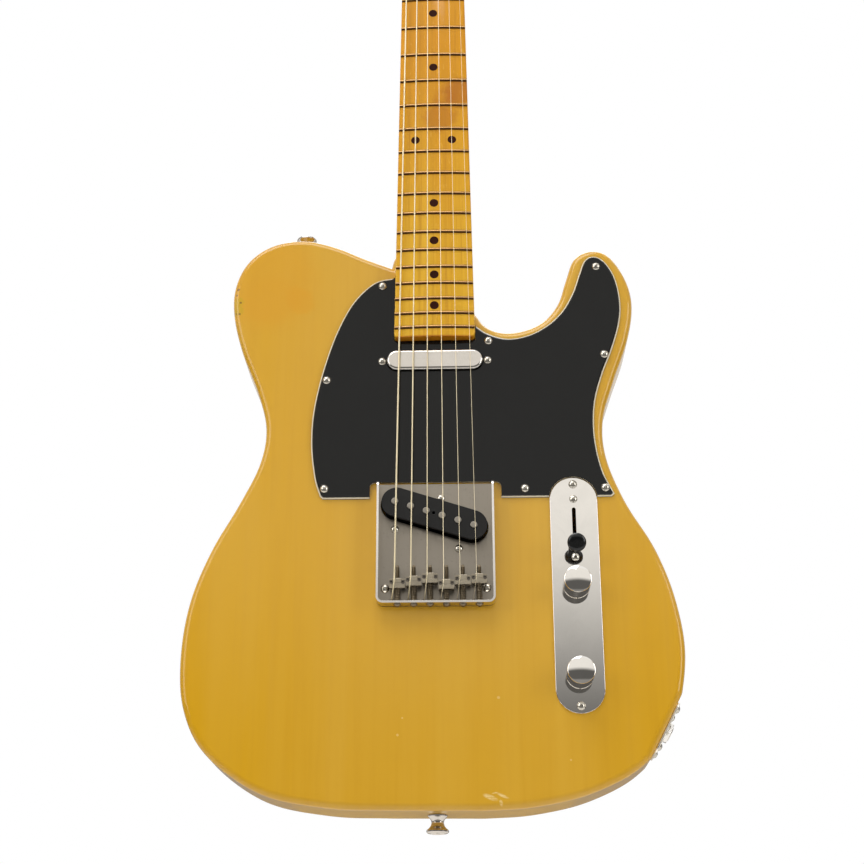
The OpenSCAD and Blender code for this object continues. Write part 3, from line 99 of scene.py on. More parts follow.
@dataclass(frozen=True)
class Layout:
    """Places that the sub-assemblies share, measured on the CAD frame, in millimetres."""

    face: float
    back: float
    board: float
    nut_y: float
    bridge_y: float
    neck_end: float
    nut_width: float
    heel_width: float
    head_face: float
    head_back: float
    tip_y: float
    board_radius: float = 240.0
    fret_count: int = 22
    fret_width: float = 2.5
    fret_rise: float = 1.1
    head_thickness: float = 14.0
    gauges: tuple[float, ...] = (1.17, 0.91, 0.66, 0.43, 0.33, 0.25)
    nut_spread: float = 35.0
    bridge_spread: float = 54.0
    bridge_gap: float = 4.3
    nut_gap: float = 1.5
    crest_back: tuple[float, ...] = (2.2, 1.0, -0.8, 3.5, 0.4, -0.6)
    bridge_sheet: float = 1.4
    control_sheet: float = 1.2
    guard_sheet: float = 2.4
    hole_shift: float = 2.2
    ferrule_radius: float = 5.0

    @classmethod
    def measured(cls) -> "Layout":
        """Reads the shared places from the CAD nodes.

        Returns:
            The layout of this guitar.
        """
        body_low, body_high = bench_box("body")
        neck_low, neck_high = bench_box("neck")
        nut_low, nut_high = bench_box("nut")
        trees_low, _ = bench_box("string_trees")
        frets_low, frets_high = bench_box("frets")
        nut_y = nut_low.y - 0.05
        nut_width = nut_high.x - nut_low.x
        last_fret = frets_low.y + cls.fret_width / 2
        scale = (nut_y - last_fret) / (1 - 2 ** (-cls.fret_count / 12))
        neck_end = neck_low.y
        last_width = frets_high.x - frets_low.x + 0.4
        heel = nut_width + (last_width - nut_width) * (nut_y - neck_end) / (nut_y - last_fret)
        return cls(
            face=body_high.z,
            back=body_low.z,
            board=frets_high.z - cls.fret_rise,
            nut_y=nut_y,
            bridge_y=nut_y - scale,
            neck_end=neck_end,
            nut_width=nut_width,
            heel_width=heel,
            head_face=trees_low.z,
            head_back=trees_low.z - cls.head_thickness,
            tip_y=neck_high.y,
        )

    @property
    def scale(self) -> float:
        """Speaking length of the strings."""
        return self.nut_y - self.bridge_y

    def half_width(self, y: float) -> float:
        """Half the width of the playing surface at a place along the neck, constant past the nut."""
        share = max(0.0, (self.nut_y - y) / (self.nut_y - self.neck_end))
        return self.nut_width / 2 + (self.heel_width - self.nut_width) / 2 * share

    def nut_x(self, string: int) -> float:
        """Place of a string across the nut."""
        return self.nut_spread * (string / 5 - 0.5)

    def bridge_x(self, string: int) -> float:
        """Place of a string across the bridge."""
        return self.bridge_spread * (string / 5 - 0.5)

    def string_x(self, string: int, y: float) -> float:
        """Place of a string across the guitar, at a place along the neck."""
        share = (self.nut_y - y) / self.scale
        return self.nut_x(string) + (self.bridge_x(string) - self.nut_x(string)) * share

    def drop(self, x: float) -> float:
        """How far the curved playing surface has fallen at a distance from the centre line."""
        return self.board_radius - math.sqrt(self.board_radius**2 - x**2)

    def crest(self, string: int) -> Point3:
        """Where a string bends over its saddle.

        Args:
            string: its number from the bass side.

        Returns:
            The middle of the string there.
        """
        x = self.bridge_x(string)
        seat = self.board + self.bridge_gap - self.drop(x)
        return x, self.bridge_y - self.crest_back[string], seat + self.gauges[string] / 2

    def at_nut(self, string: int) -> Point3:
        """Where a string bends over the nut."""
        x = self.nut_x(string)
        return x, self.nut_y, self.board + self.nut_gap - self.drop(x) + self.gauges[string] / 2

    def string_hole(self, string: int) -> Point:
        """Where a string comes up through the body."""
        ferrules, _ = bench_box("string_ferrules")
        return self.bridge_x(string) - self.hole_shift, ferrules.y + self.ferrule_radius

    def post(self, string: int) -> Point:
        """Middle of a string's post."""
        return middle(f"tuner_post_{string + 1}")[:2]

    def trees(self) -> list[Point]:
        """Middles of both string trees, the nearer first."""
        loops = [loop for loop in sections("string_trees", self.head_face + 1.5) if signed_area(loop) > 8]
        return sorted((centre(loop) for loop in loops), key=lambda p: p[1])

    def seat(self, x: float, y: float) -> float:
        """Height of the plate on which a screw's head sits.

        Args:
            x: place across.
            y: place along.

        Returns:
            The height of the plate's top there.
        """
        for node, sheet in (("bridge_plate", self.bridge_sheet), ("control_plate", self.control_sheet)):
            low, high = bench_box(node)
            if low.x < x < high.x and low.y < y < high.y:
                return self.face + sheet
        return self.face + self.guard_sheet


# --- bench tools


class Axis(Enum):
    """Way that a turned piece points on the bench."""

    UP = (0.0, 0.0, 1.0)
    DOWN = (0.0, 0.0, -1.0)
    HEAD = (0.0, 1.0, 0.0)
    TAIL = (0.0, -1.0, 0.0)
    TREBLE = (1.0, 0.0, 0.0)

    def turn(self) -> Matrix:
        """The rotation that lays an upright piece along this way."""
        return Vector((0, 0, 1)).rotation_difference(Vector(self.value)).to_matrix().to_4x4()


def activate(*pieces: Piece) -> None:
    """Selects only these pieces and makes the first of them active.

    Args:
        pieces: the pieces.
    """
    if bpy.context.object and bpy.context.object.mode != "OBJECT":
        bpy.ops.object.mode_set(mode="OBJECT")
    bpy.ops.object.select_all(action="DESELECT")
    for piece in pieces:
        piece.select_set(True)
    bpy.context.view_layer.objects.active = pieces[0]


def edit(piece: Piece) -> None:
    """Opens a piece in edit mode with all of it selected.

    Args:
        piece: the piece.
    """
    activate(piece)
    bpy.ops.object.mode_set(mode="EDIT")
    bpy.ops.mesh.select_all(action="SELECT")


def disc(outline: Sequence[Point], height: float) -> Piece:
    """A flat disc whose rim is drawn out to an outline, left in edit mode with its face selected.

    Args:
        outline: the rim, anticlockwise.
        height: place of the disc above the bench.

    Returns:
        The new object.
    """
    bpy.ops.object.select_all(action="DESELECT")
    bpy.ops.mesh.primitive_circle_add(vertices=len(outline), radius=1.0, fill_type="NGON")
    piece = bpy.context.object
    for vertex, (x, y) in zip(piece.data.vertices, outline):
        vertex.co = (x, y, height)
    edit(piece)
    return piece


def closed(piece: Piece) -> Piece:
    """Merges doubled points, turns every face outwards and leaves edit mode.

    Args:
        piece: the piece.

    Returns:
        The same piece.
    """
    edit(piece)
    bpy.ops.mesh.remove_doubles(threshold=WELD)
    bpy.ops.mesh.normals_make_consistent(inside=False)
    bpy.ops.object.mode_set(mode="OBJECT")
    return piece


def slab(outline: Sequence[Point], low: float, high: float) -> Piece:
    """A plate of even thickness, pulled up from an outline.

    Args:
        outline: the plate's edge.
        low: height of the underside.
        high: height of the top.

    Returns:
        The plate.
    """
    piece = disc(outline, low)
    bpy.ops.mesh.extrude_region_move(TRANSFORM_OT_translate={"value": (0, 0, high - low)})
    return closed(piece)


def bevel(piece: Piece, width: float, segments: int, angle: float = 50.0) -> Piece:
    """Rounds the sharp edges of a piece.

    Args:
        piece: the piece.
        width: width of the rounding.
        segments: steps in it.
        angle: edges that fold by less than this stay as they are, in degrees.

    Returns:
        The same piece.
    """
    activate(piece)
    step = piece.modifiers.new("edge", "BEVEL")
    step.width = width
    step.segments = segments
    step.limit_method = "ANGLE"
    step.angle_limit = math.radians(angle)
    step.use_clamp_overlap = True
    bpy.ops.object.modifier_apply(modifier=step.name)
    return piece


def carve(piece: Piece, *tools: Piece, how: str = "DIFFERENCE") -> Piece:
    """Cuts tools out of a piece, or adds them to it, and puts the tools away.

    Args:
        piece: the piece that stays.
        tools: the cutting or added shapes.
        how: the boolean operation.

    Returns:
        The same piece.
    """
    for tool in tools:
        activate(piece)
        step = piece.modifiers.new("carve", "BOOLEAN")
        step.operation = how
        step.solver = "EXACT"
        step.object = tool
        bpy.ops.object.modifier_apply(modifier=step.name)
        bpy.data.objects.remove(tool)
    return piece


def join(*pieces: Piece) -> Piece:
    """Gathers pieces into the first of them.

    Args:
        pieces: the pieces.

    Returns:
        The first piece.
    """
    activate(*pieces)
    if len(pieces) > 1:
        bpy.ops.object.join()
    return pieces[0]


def place(piece: Piece, matrix: Matrix) -> Piece:
    """Moves a piece's mesh by a matrix."""
    piece.data.transform(matrix)
    return piece


def copies(pattern: Piece, places: Iterable[Matrix]) -> Piece:
    """Sets a copy of a pattern at each place, gathers them, and puts the pattern away.

    Args:
        pattern: the modelled piece.
        places: one matrix a copy.

    Returns:
        All the copies as one piece.
    """
    made = []
    for matrix in places:
        copy = pattern.copy()
        copy.data = pattern.data.copy()
        bpy.context.scene.collection.objects.link(copy)
        made.append(place(copy, matrix))
    bpy.data.objects.remove(pattern)
    return join(*made)


def turned(profile: Sequence[Point], sides: int) -> Piece:
    """A lathe-turned piece, standing on the bench at the centre.

    Args:
        profile: (radius, height) from the bottom to the top; both ends are closed by a face.
        sides: faces round it.

    Returns:
        The piece.
    """
    radius, height = profile[0]
    bpy.ops.object.select_all(action="DESELECT")
    bpy.ops.mesh.primitive_circle_add(vertices=sides, radius=radius, fill_type="NGON", location=(0, 0, height))
    piece = bpy.context.object
    bpy.ops.object.transform_apply(location=True, rotation=False, scale=False)
    edit(piece)
    for next_radius, next_height in profile[1:]:
        bpy.ops.mesh.extrude_region_move(TRANSFORM_OT_translate={"value": (0, 0, next_height - height)})
        share = next_radius / radius
        bpy.ops.transform.resize(value=(share, share, 1), center_override=(0, 0, next_height))
        radius, height = next_radius, next_height
    return closed(piece)


def ring(profile: Sequence[Point], sides: int = 48) -> Piece:
    """A turned piece with a hole through it.

    Args:
        profile: closed (radius, height) outline of the ring's section.
        sides: faces round it.

    Returns:
        The piece.
    """
    piece = disc(profile, 0.0)
    bpy.ops.object.mode_set(mode="OBJECT")
    edit(place(piece, Matrix.Rotation(math.radians(90), 4, "X")))
    bpy.ops.mesh.delete(type="ONLY_FACE")
    bpy.ops.mesh.select_all(action="SELECT")
    bpy.ops.mesh.spin(steps=sides, angle=2 * math.pi, center=(0, 0, 0), axis=(0, 0, 1))
    return closed(piece)


def block(size: Point3, centre: Point3, edge: float = 0.0, segments: int = 3) -> Piece:
    """A box with rounded edges.

    Args:
        size: lengths of its sides.
        centre: its middle.
        edge: width of the rounding.
        segments: steps in the rounding.

    Returns:
        The box.
    """
    bpy.ops.object.select_all(action="DESELECT")
    bpy.ops.mesh.primitive_cube_add(size=1.0)
    piece = bpy.context.object
    place(piece, Matrix.Translation(centre) @ Matrix.Diagonal((*size, 1.0)))
    return bevel(piece, edge, segments) if edge else piece


def sweep(path: Sequence[Vector], radius: float, sides: int = 10) -> Piece:
    """A round length that follows a path, with closed ends.

    Args:
        path: points of its centre line.
        radius: half its thickness.
        sides: faces round it.

    Returns:
        The length as a mesh.
    """
    curve = bpy.data.curves.new("sweep", "CURVE")
    curve.dimensions = "3D"
    curve.bevel_depth = radius
    curve.bevel_resolution = max(0, sides // 2 - 2)
    curve.use_fill_caps = True
    line = curve.splines.new("POLY")
    line.points.add(len(path) - 1)
    for point, co in zip(line.points, path):
        point.co = (*co, 1.0)
    piece = bpy.data.objects.new("sweep", curve)
    bpy.context.scene.collection.objects.link(piece)
    activate(piece)
    bpy.ops.object.convert(target="MESH")
    return bpy.context.object


def arc(centre: Point, radius: float, start: float, end: float, steps: int) -> Loop:
    """Points on an arc.

    Args:
        centre: middle of the arc.
        radius: its radius.
        start: first angle, in degrees.
        end: last angle, in degrees.
        steps: spans between the points.

    Returns:
        The points, both ends included.
    """
    angles = [math.radians(start + (end - start) * k / steps) for k in range(steps + 1)]
    return [(centre[0] + radius * math.cos(a), centre[1] + radius * math.sin(a)) for a in angles]


def stadium(length: float, width: float, steps: int) -> Loop:
    """A long outline with round ends, along X."""
    reach = (length - width) / 2
    return arc((reach, 0), width / 2, -90, 90, steps) + arc((-reach, 0), width / 2, 90, 270, steps)


def round_rect(width: float, height: float, radius: float, steps: int) -> Loop:
    """A rectangle with round corners, about the centre.

    Args:
        width: its width.
        height: its height.
        radius: radius of the corners.
        steps: spans in each corner.

    Returns:
        Its points, anticlockwise.
    """
    x, y = width / 2 - radius, height / 2 - radius
    corners = ((x, y, 0), (-x, y, 90), (-x, -y, 180), (x, -y, 270))
    return [p for cx, cy, a in corners for p in arc((cx, cy), radius, a, a + 90, steps)]


def moved(outline: Sequence[Point], x: float, y: float) -> Loop:
    """An outline, shifted."""
    return [(x + px, y + py) for px, py in outline]


def at(x: float, y: float, z: float, axis: Axis = Axis.UP, spin: float = 0.0) -> Matrix:
    """The place of a copy: its foot, the way it points, and its own turn in degrees."""
    return Matrix.Translation((x, y, z)) @ axis.turn() @ Matrix.Rotation(math.radians(spin), 4, "Z")


def straightened(points: Sequence[Point]) -> Loop:
    """An outline without the points that lie on a straight run between their neighbours.

    Args:
        points: the closed outline.

    Returns:
        The points that shape it.
    """
    kept: Loop = []
    count = len(points)
    for i, (x, y) in enumerate(points):
        ax, ay = kept[-1] if kept else points[i - 1]
        bx, by = points[(i + 1) % count]
        run = math.hypot(bx - ax, by - ay)
        if run < 1e-6 or abs((bx - ax) * (y - ay) - (by - ay) * (x - ax)) / run > SLACK:
            kept.append((x, y))
    return kept


def sections(node: str, height: float) -> list[Loop]:
    """The outlines in which a level plane meets a CAD node.

    Args:
        node: name of the CAD node.
        height: height of the plane above the bench.

    Returns:
        The closed outlines, the one with the widest reach first, each anticlockwise.
    """
    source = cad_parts[node]
    mesh = bmesh.new()
    mesh.from_mesh(source.data)
    mesh.transform(FRAME_TO_BENCH)
    bmesh.ops.remove_doubles(mesh, verts=mesh.verts, dist=0.002)
    parts = mesh.verts[:] + mesh.edges[:] + mesh.faces[:]
    cut = bmesh.ops.bisect_plane(
        mesh, geom=parts, dist=1e-5, plane_co=(0, 0, height), plane_no=(0, 0, 1),
        clear_inner=True, clear_outer=True,
    )
    edges = [e for e in cut["geom_cut"] if isinstance(e, bmesh.types.BMEdge)]
    mesh.verts.index_update()
    links: dict[int, list[int]] = {}
    spots: dict[int, Point] = {}
    for edge in edges:
        a, b = edge.verts
        links.setdefault(a.index, []).append(b.index)
        links.setdefault(b.index, []).append(a.index)
        spots[a.index], spots[b.index] = a.co.xy.to_tuple(), b.co.xy.to_tuple()
    mesh.free()
    loops = []
    left = set(links)
    while left:
        start = left.pop()
        walk, here = [start], start
        while True:
            ahead = [n for n in links[here] if n in left]
            if not ahead:
                break
            here = ahead[0]
            left.discard(here)
            walk.append(here)
        if len(walk) > 2:
            loops.append(straightened([spots[i] for i in walk]))
    loops = [loop if signed_area(loop) > 0 else loop[::-1] for loop in loops if len(loop) > 2]
    return sorted(loops, key=lambda loop: -abs(signed_area(loop)))


def signed_area(outline: Sequence[Point]) -> float:
    """Area inside an outline, below zero if it runs clockwise."""
    nexts = [*outline[1:], outline[0]]
    return sum(a[0] * b[1] - b[0] * a[1] for a, b in zip(outline, nexts)) / 2


# --- finishes


class Graph:
    """The node graph of one finish, while it is being wired."""

    def __init__(self, name: str) -> None:
        """Starts an empty material with a shader and its coordinates.

        Args:
            name: name of the material.
        """
        self.material = bpy.data.materials.new(name)
        self.material.use_nodes = True
        self.tree = self.material.node_tree
        self.tree.nodes.clear()
        self.shader = self.node("ShaderNodeBsdfPrincipled")
        output = self.node("ShaderNodeOutputMaterial")
        self.wire(self.shader.outputs["BSDF"], output.inputs["Surface"])
        self.place = self.node("ShaderNodeTexCoord").outputs["Object"]

    def node(self, kind: str, **settings: object) -> bpy.types.Node:
        """Adds a node.

        Args:
            kind: the node's type.
            settings: its properties.

        Returns:
            The node.
        """
        made = self.tree.nodes.new(kind)
        for key, value in settings.items():
            setattr(made, key, value)
        return made

    def wire(self, source: Socket, target: Socket) -> None:
        """Links two sockets."""
        self.tree.links.new(source, target)

    def feed(self, socket: Socket, value: object) -> None:
        """Links a socket to another, or sets its value.

        Args:
            socket: the socket that takes it in.
            value: a socket, a number or a colour.
        """
        if isinstance(value, Socket):
            self.wire(value, socket)
        else:
            socket.default_value = value

    def math(self, operation: str, *values: object) -> Socket:
        """One sum on numbers or sockets.

        Args:
            operation: the sum.
            values: what goes in.

        Returns:
            The result.
        """
        made = self.node("ShaderNodeMath", operation=operation)
        for socket, value in zip(made.inputs, values):
            self.feed(socket, value)
        return made.outputs[0]

    def stretched(self, scale: Point3) -> Socket:
        """The piece's coordinates, stretched along the axes.

        Args:
            scale: the stretch along X, Y and Z.

        Returns:
            The new coordinates.
        """
        made = self.node("ShaderNodeMapping")
        made.inputs["Scale"].default_value = scale
        self.wire(self.place, made.inputs["Vector"])
        return made.outputs[0]

    def noise(self, where: Socket, scale: float, detail: float = 4.0, rough: float = 0.55,
              twist: float = 0.0) -> Socket:
        """Soft noise between 0 and 1.

        Args:
            where: coordinates.
            scale: how often it changes, to the metre.
            detail: how many finer layers it has.
            rough: how strong they are.
            twist: how far it is drawn out of shape.

        Returns:
            The noise.
        """
        made = self.node("ShaderNodeTexNoise")
        for name, value in (("Vector", where), ("Scale", scale), ("Detail", detail), ("Roughness", rough),
                            ("Distortion", twist)):
            self.feed(made.inputs[name], value)
        return made.outputs["Fac"]

    def ramp(self, value: Socket, low: float, high: float, start: float = 0.0,
             end: float = 1.0) -> Socket:
        """A value rescaled smoothly from one range to another.

        Args:
            value: the value.
            low: lower end of its range.
            high: upper end of its range.
            start: what the lower end becomes.
            end: what the upper end becomes.

        Returns:
            The rescaled value.
        """
        made = self.node("ShaderNodeMapRange", interpolation_type="SMOOTHSTEP")
        for name, number in (("From Min", low), ("From Max", high), ("To Min", start), ("To Max", end)):
            made.inputs[name].default_value = number
        self.wire(value, made.inputs["Value"])
        return made.outputs["Result"]

    def mix(self, share: object, a: object, b: object) -> Socket:
        """Two colours mixed.

        Args:
            share: share of the second.
            a: the first colour.
            b: the second colour.

        Returns:
            The mixed colour.
        """
        made = self.node("ShaderNodeMix", data_type="RGBA")
        for socket, value in zip((made.inputs[0], made.inputs[6], made.inputs[7]), (share, a, b)):
            self.feed(socket, value)
        return made.outputs[2]

    def tinted(self, colour: object, mask: Socket, share: float, tint: Point3) -> Socket:
        """A colour drawn towards a screen colour by a share of a mask."""
        return self.mix(self.math("MULTIPLY", mask, share), colour, linear(*tint))

    def axes(self) -> dict[str, Socket]:
        """The piece's coordinates one by one.

        Returns:
            The three, by the names X, Y and Z.
        """
        made = self.node("ShaderNodeSeparateXYZ")
        self.wire(self.place, made.inputs[0])
        return {axis: made.outputs[axis] for axis in "XYZ"}

    def patch(self, centre: Point3, reach: float, ragged: float, scale: float) -> Socket:
        """A mask that is 1 at a spot of the piece and fades to 0.

        Args:
            centre: the spot, in metres in the frame.
            reach: distance at which the mask has faded, in metres.
            ragged: how far noise pushes the edge, in metres.
            scale: scale of that noise.

        Returns:
            The mask.
        """
        away = self.node("ShaderNodeVectorMath", operation="DISTANCE")
        self.wire(self.place, away.inputs[0])
        away.inputs[1].default_value = centre
        push = self.math("MULTIPLY", self.math("SUBTRACT", self.noise(self.place, scale), 0.5), 2 * ragged)
        distance = self.math("ADD", away.outputs["Value"], push)
        return self.ramp(distance, reach * 0.55, reach, 1.0, 0.0)

    def streak(self, centre: Point3, length: float, width: float, turn: float) -> Socket:
        """A mask that is 1 along a short stroke on the front and fades to 0.

        Args:
            centre: middle of the stroke, in metres in the frame.
            length: its length, in metres.
            width: its width, in metres.
            turn: its slope, in degrees.

        Returns:
            The mask.
        """
        made = self.node("ShaderNodeMapping", vector_type="TEXTURE")
        made.inputs["Location"].default_value = centre
        made.inputs["Rotation"].default_value = (0.0, math.radians(-turn), 0.0)
        made.inputs["Scale"].default_value = (length / 2, 0.004, width / 2)
        self.wire(self.place, made.inputs["Vector"])
        away = self.node("ShaderNodeVectorMath", operation="LENGTH")
        self.wire(made.outputs[0], away.inputs[0])
        return self.ramp(away.outputs["Value"], 0.35, 1.0, 1.0, 0.0)

    def bump(self, height: Socket, depth: float, strength: float) -> None:
        """Raises the surface by a height between 0 and 1.

        Args:
            height: the height.
            depth: what 1 stands for, in metres.
            strength: share of the effect.
        """
        made = self.node("ShaderNodeBump")
        made.inputs["Distance"].default_value = depth
        made.inputs["Strength"].default_value = strength
        self.wire(height, made.inputs["Height"])
        self.wire(made.outputs["Normal"], self.shader.inputs["Normal"])

    def set(self, **values: object) -> None:
        """Sets the shader's own sockets, with underscores for the spaces in their names."""
        for key, value in values.items():
            self.feed(self.shader.inputs[key.replace("_", " ")], value)


def linear(red: int, green: int, blue: int) -> tuple[float, float, float, float]:
    """A screen colour as the shader's linear one.

    Args:
        red: red, from 0 to 255.
        green: green.
        blue: blue.

    Returns:
        The linear colour, opaque.
    """
    shares = [value / 255 for value in (red, green, blue)]
    return (*(c / 12.92 if c <= 0.04045 else ((c + 0.055) / 1.055) ** 2.4 for c in shares), 1.0)


#: Finishes already wired, by name.
MADE: dict[str, bpy.types.Material] = {}


@dataclass(frozen=True)
class Finish:
    """What a surface is made of. Subclasses wire it."""

    name: str

    def wire(self, graph: Graph) -> None:
        """Wires the finish into a graph."""
        raise NotImplementedError

    def material(self) -> bpy.types.Material:
        """The finish as a material, made once.

        Returns:
            The material.
        """
        if self.name not in MADE:
            graph = Graph(self.name)
            self.wire(graph)
            MADE[self.name] = graph.material
        return MADE[self.name]


@dataclass(frozen=True)
class Butterscotch(Finish):
    """Translucent yellow lacquer over pale wood, with the marks of use."""

    middle: Point3 = (211, 162, 50)
    rim: Point3 = (211, 158, 14)
    stain: Point3 = (214, 152, 6)
    chip: Point3 = (198, 160, 4)
    speck: Point3 = (96, 60, 12)
    bare: Point3 = (240, 214, 150)
    stains: tuple[tuple[Point3, float, float], ...] = (
        ((-0.0950, -0.0225, 0.3570), 0.0120, 0.55), ((-0.1000, -0.0225, 0.3610), 0.0090, 0.30),
        ((-0.1180, -0.0225, 0.3580), 0.0240, 0.30), ((-0.1250, -0.0225, 0.3750), 0.0500, 0.45))
    chips: tuple[tuple[Point3, float], ...] = (
        ((-0.1402, -0.0215, 0.3565), 0.0050), ((-0.1402, -0.0215, 0.3500), 0.0048))
    specks: tuple[tuple[Point3, float], ...] = (
        ((-0.1408, -0.0220, 0.3669), 0.0013), ((-0.1417, -0.0215, 0.3624), 0.0011),
        ((-0.1388, -0.0224, 0.3564), 0.0010), ((-0.1392, -0.0223, 0.3475), 0.0011),
        ((-0.1416, -0.0212, 0.3480), 0.0009))
    scrapes: tuple[tuple[Point3, float, float, float], ...] = (
        ((0.0337, -0.0222, 0.0078), 0.0120, 0.0040, -20.0), ((0.0415, -0.0222, 0.0088), 0.0100, 0.0026, -23.0),
        ((0.0403, -0.0212, 0.0045), 0.0055, 0.0030, -75.0), ((0.0365, -0.0222, 0.0105), 0.0050, 0.0012, 10.0))
    dings: tuple[tuple[Point3, float], ...] = (
        ((-0.025, -0.0225, 0.047), 0.0011), ((0.040, -0.0225, 0.071), 0.0012),
        ((-0.022, -0.0225, 0.058), 0.0007), ((0.085, -0.0225, 0.031), 0.0008))

    def wire(self, graph: Graph) -> None:
        """Wires grain, deeper colour at the sides, stains, chips and scratches.

        Args:
            graph: the new material's graph.
        """
        axes = graph.axes()
        across, along = axes["X"], axes["Z"]
        sway = graph.math("MULTIPLY", graph.noise(graph.place, 4.0, 2.0), 0.06)
        side = graph.math("ADD", graph.math("ABSOLUTE", graph.math("SUBTRACT", across, 0.014)), sway)
        low = graph.ramp(along, 0.0, 0.16, 1.0, 0.0)
        depth = graph.math("MAXIMUM", graph.ramp(side, 0.045, 0.19), graph.math("MULTIPLY", low, 0.40))
        colour = graph.mix(depth, linear(*self.middle), linear(*self.rim))
        grain = graph.noise(graph.stretched((1.0, 1.0, 0.035)), 210.0, 5.0, 0.6, 0.25)
        broad = graph.noise(graph.stretched((1.0, 1.0, 0.06)), 34.0, 3.0, 0.5, 0.4)
        colour = graph.mix(graph.ramp(grain, 0.42, 0.72, 0.0, 0.16), colour, linear(194, 140, 24))
        colour = graph.mix(graph.ramp(broad, 0.4, 0.75, 0.0, 0.25), colour, linear(220, 174, 66))
        for spot, reach, share in self.stains:
            colour = graph.tinted(colour, graph.patch(spot, reach, 0.006, 60.0), share, self.stain)
        for spot, reach in self.chips:
            colour = graph.tinted(colour, graph.patch(spot, reach, 0.0016, 300.0), 0.7, self.chip)
        for spot, reach in self.specks:
            colour = graph.tinted(colour, graph.patch(spot, reach, 0.0006, 900.0), 0.75, self.speck)
        worn = graph.ramp(graph.noise(graph.stretched((0.5, 1.0, 1.6)), 620.0, 3.0), 0.34, 0.62, 0.25, 1.0)
        for stroke in self.scrapes:
            colour = graph.tinted(colour, graph.math("MULTIPLY", graph.streak(*stroke), worn), 0.85, self.bare)
        for spot, reach in self.dings:
            colour = graph.tinted(colour, graph.patch(spot, reach, 0.0004, 900.0), 0.4, self.bare)
        graph.set(Base_Color=colour, IOR=1.5, Specular_IOR_Level=0.1)
        graph.set(Coat_Weight=0.75, Coat_Roughness=0.035, Coat_IOR=1.5)
        graph.set(Roughness=graph.ramp(graph.noise(graph.place, 24.0), 0.3, 0.7, 0.30, 0.38))
        graph.bump(graph.noise(graph.place, 26.0, 2.0), 0.00006, 0.6)


@dataclass(frozen=True)
class AmberMaple(Finish):
    """Tinted gloss lacquer over maple, with fine grain, ray flecks, a cloud of wear on the board and painted shade
    on the heel's end.
    """

    light: Point3 = (228, 178, 42)
    deep: Point3 = (217, 162, 26)
    upper: Point3 = (212, 142, 2)
    cloud: Point3 = (166, 86, 8)
    # Height below which the heel's end gets painted shade, in metres.
    heel: float = 0.3238
    clouds: tuple[tuple[Point3, float, float], ...] = (
        ((0.0190, -0.0315, 0.5235), 0.0150, 0.60), ((0.0080, -0.0318, 0.5190), 0.0100, 0.25),
        ((0.0050, -0.0318, 0.5030), 0.0150, 0.42))

    def wire(self, graph: Graph) -> None:
        """Wires the grain, the flecks, the wear and the painted shade on the heel's end.

        Args:
            graph: the new material's graph.
        """
        axes = graph.axes()
        grain = graph.noise(graph.stretched((1.0, 1.0, 0.02)), 420.0, 6.0, 0.62, 0.3)
        lines = graph.noise(graph.stretched((1.0, 1.0, 0.012)), 110.0, 4.0, 0.5, 0.8)
        flecks = graph.noise(graph.stretched((1.0, 1.0, 0.22)), 700.0, 2.0, 0.5)
        colour = graph.mix(graph.ramp(lines, 0.35, 0.68), linear(*self.light), linear(*self.deep))
        colour = graph.mix(graph.ramp(axes["Z"], 0.34, 0.57, 0.0, 0.85), colour, linear(*self.upper))
        colour = graph.mix(graph.ramp(grain, 0.48, 0.72, 0.0, 0.50), colour, linear(190, 122, 8))
        colour = graph.mix(graph.ramp(flecks, 0.60, 0.74, 0.0, 0.35), colour, linear(230, 180, 66))
        for spot, reach, share in self.clouds:
            colour = graph.tinted(colour, graph.patch(spot, reach, 0.006, 110.0), share, self.cloud)
        # Painted shade: below this height the heel's end, which faces down, is drawn towards the wear colour.
        heel = graph.ramp(axes["Z"], self.heel, self.heel + 0.0012, 1.0, 0.0)
        colour = graph.tinted(colour, heel, 0.75, self.cloud)
        graph.set(Base_Color=colour, IOR=1.5, Specular_IOR_Level=0.1)
        graph.set(Coat_Weight=0.38, Coat_Roughness=0.06, Coat_IOR=1.5)
        graph.set(Roughness=graph.ramp(grain, 0.3, 0.7, 0.30, 0.42))
        graph.bump(grain, 0.00002, 0.5)


@dataclass(frozen=True)
class Metal(Finish):
    """Plated or bare metal, with smears, and fine brush lines where it has them."""

    colour: Point3 = (224, 222, 218)
    roughness: float = 0.05
    smear: float = 0.05
    tarnish: float = 0.0
    brush: Optional[Point3] = None
    metallic: float = 1.0

    def wire(self, graph: Graph) -> None:
        """Wires smears, tarnish and brush lines.

        Args:
            graph: the new material's graph.
        """
        cloud = graph.noise(graph.place, 60.0, 5.0, 0.6, 0.5)
        spots = graph.ramp(graph.noise(graph.place, 520.0, 4.0, 0.6), 0.58, 0.72)
        colour = linear(*self.colour)
        dull = tuple(c * 0.55 for c in colour[:3]) + (1.0,)
        wear = graph.math("MULTIPLY", spots, self.tarnish)
        base = graph.mix(wear, colour, dull) if self.tarnish else graph.mix(
            graph.ramp(cloud, 0.35, 0.7, 0.0, 0.10), colour, dull)
        rough = graph.ramp(cloud, 0.35, 0.7, self.roughness, self.roughness + self.smear)
        graph.set(Base_Color=base, Metallic=self.metallic)
        if self.brush:
            lines = graph.noise(graph.stretched(self.brush), 900.0, 3.0, 0.7)
            rough = graph.math("ADD", rough, graph.ramp(lines, 0.3, 0.7, 0.0, 0.10))
            graph.bump(lines, 0.00001, 0.5)
        graph.set(Roughness=rough)


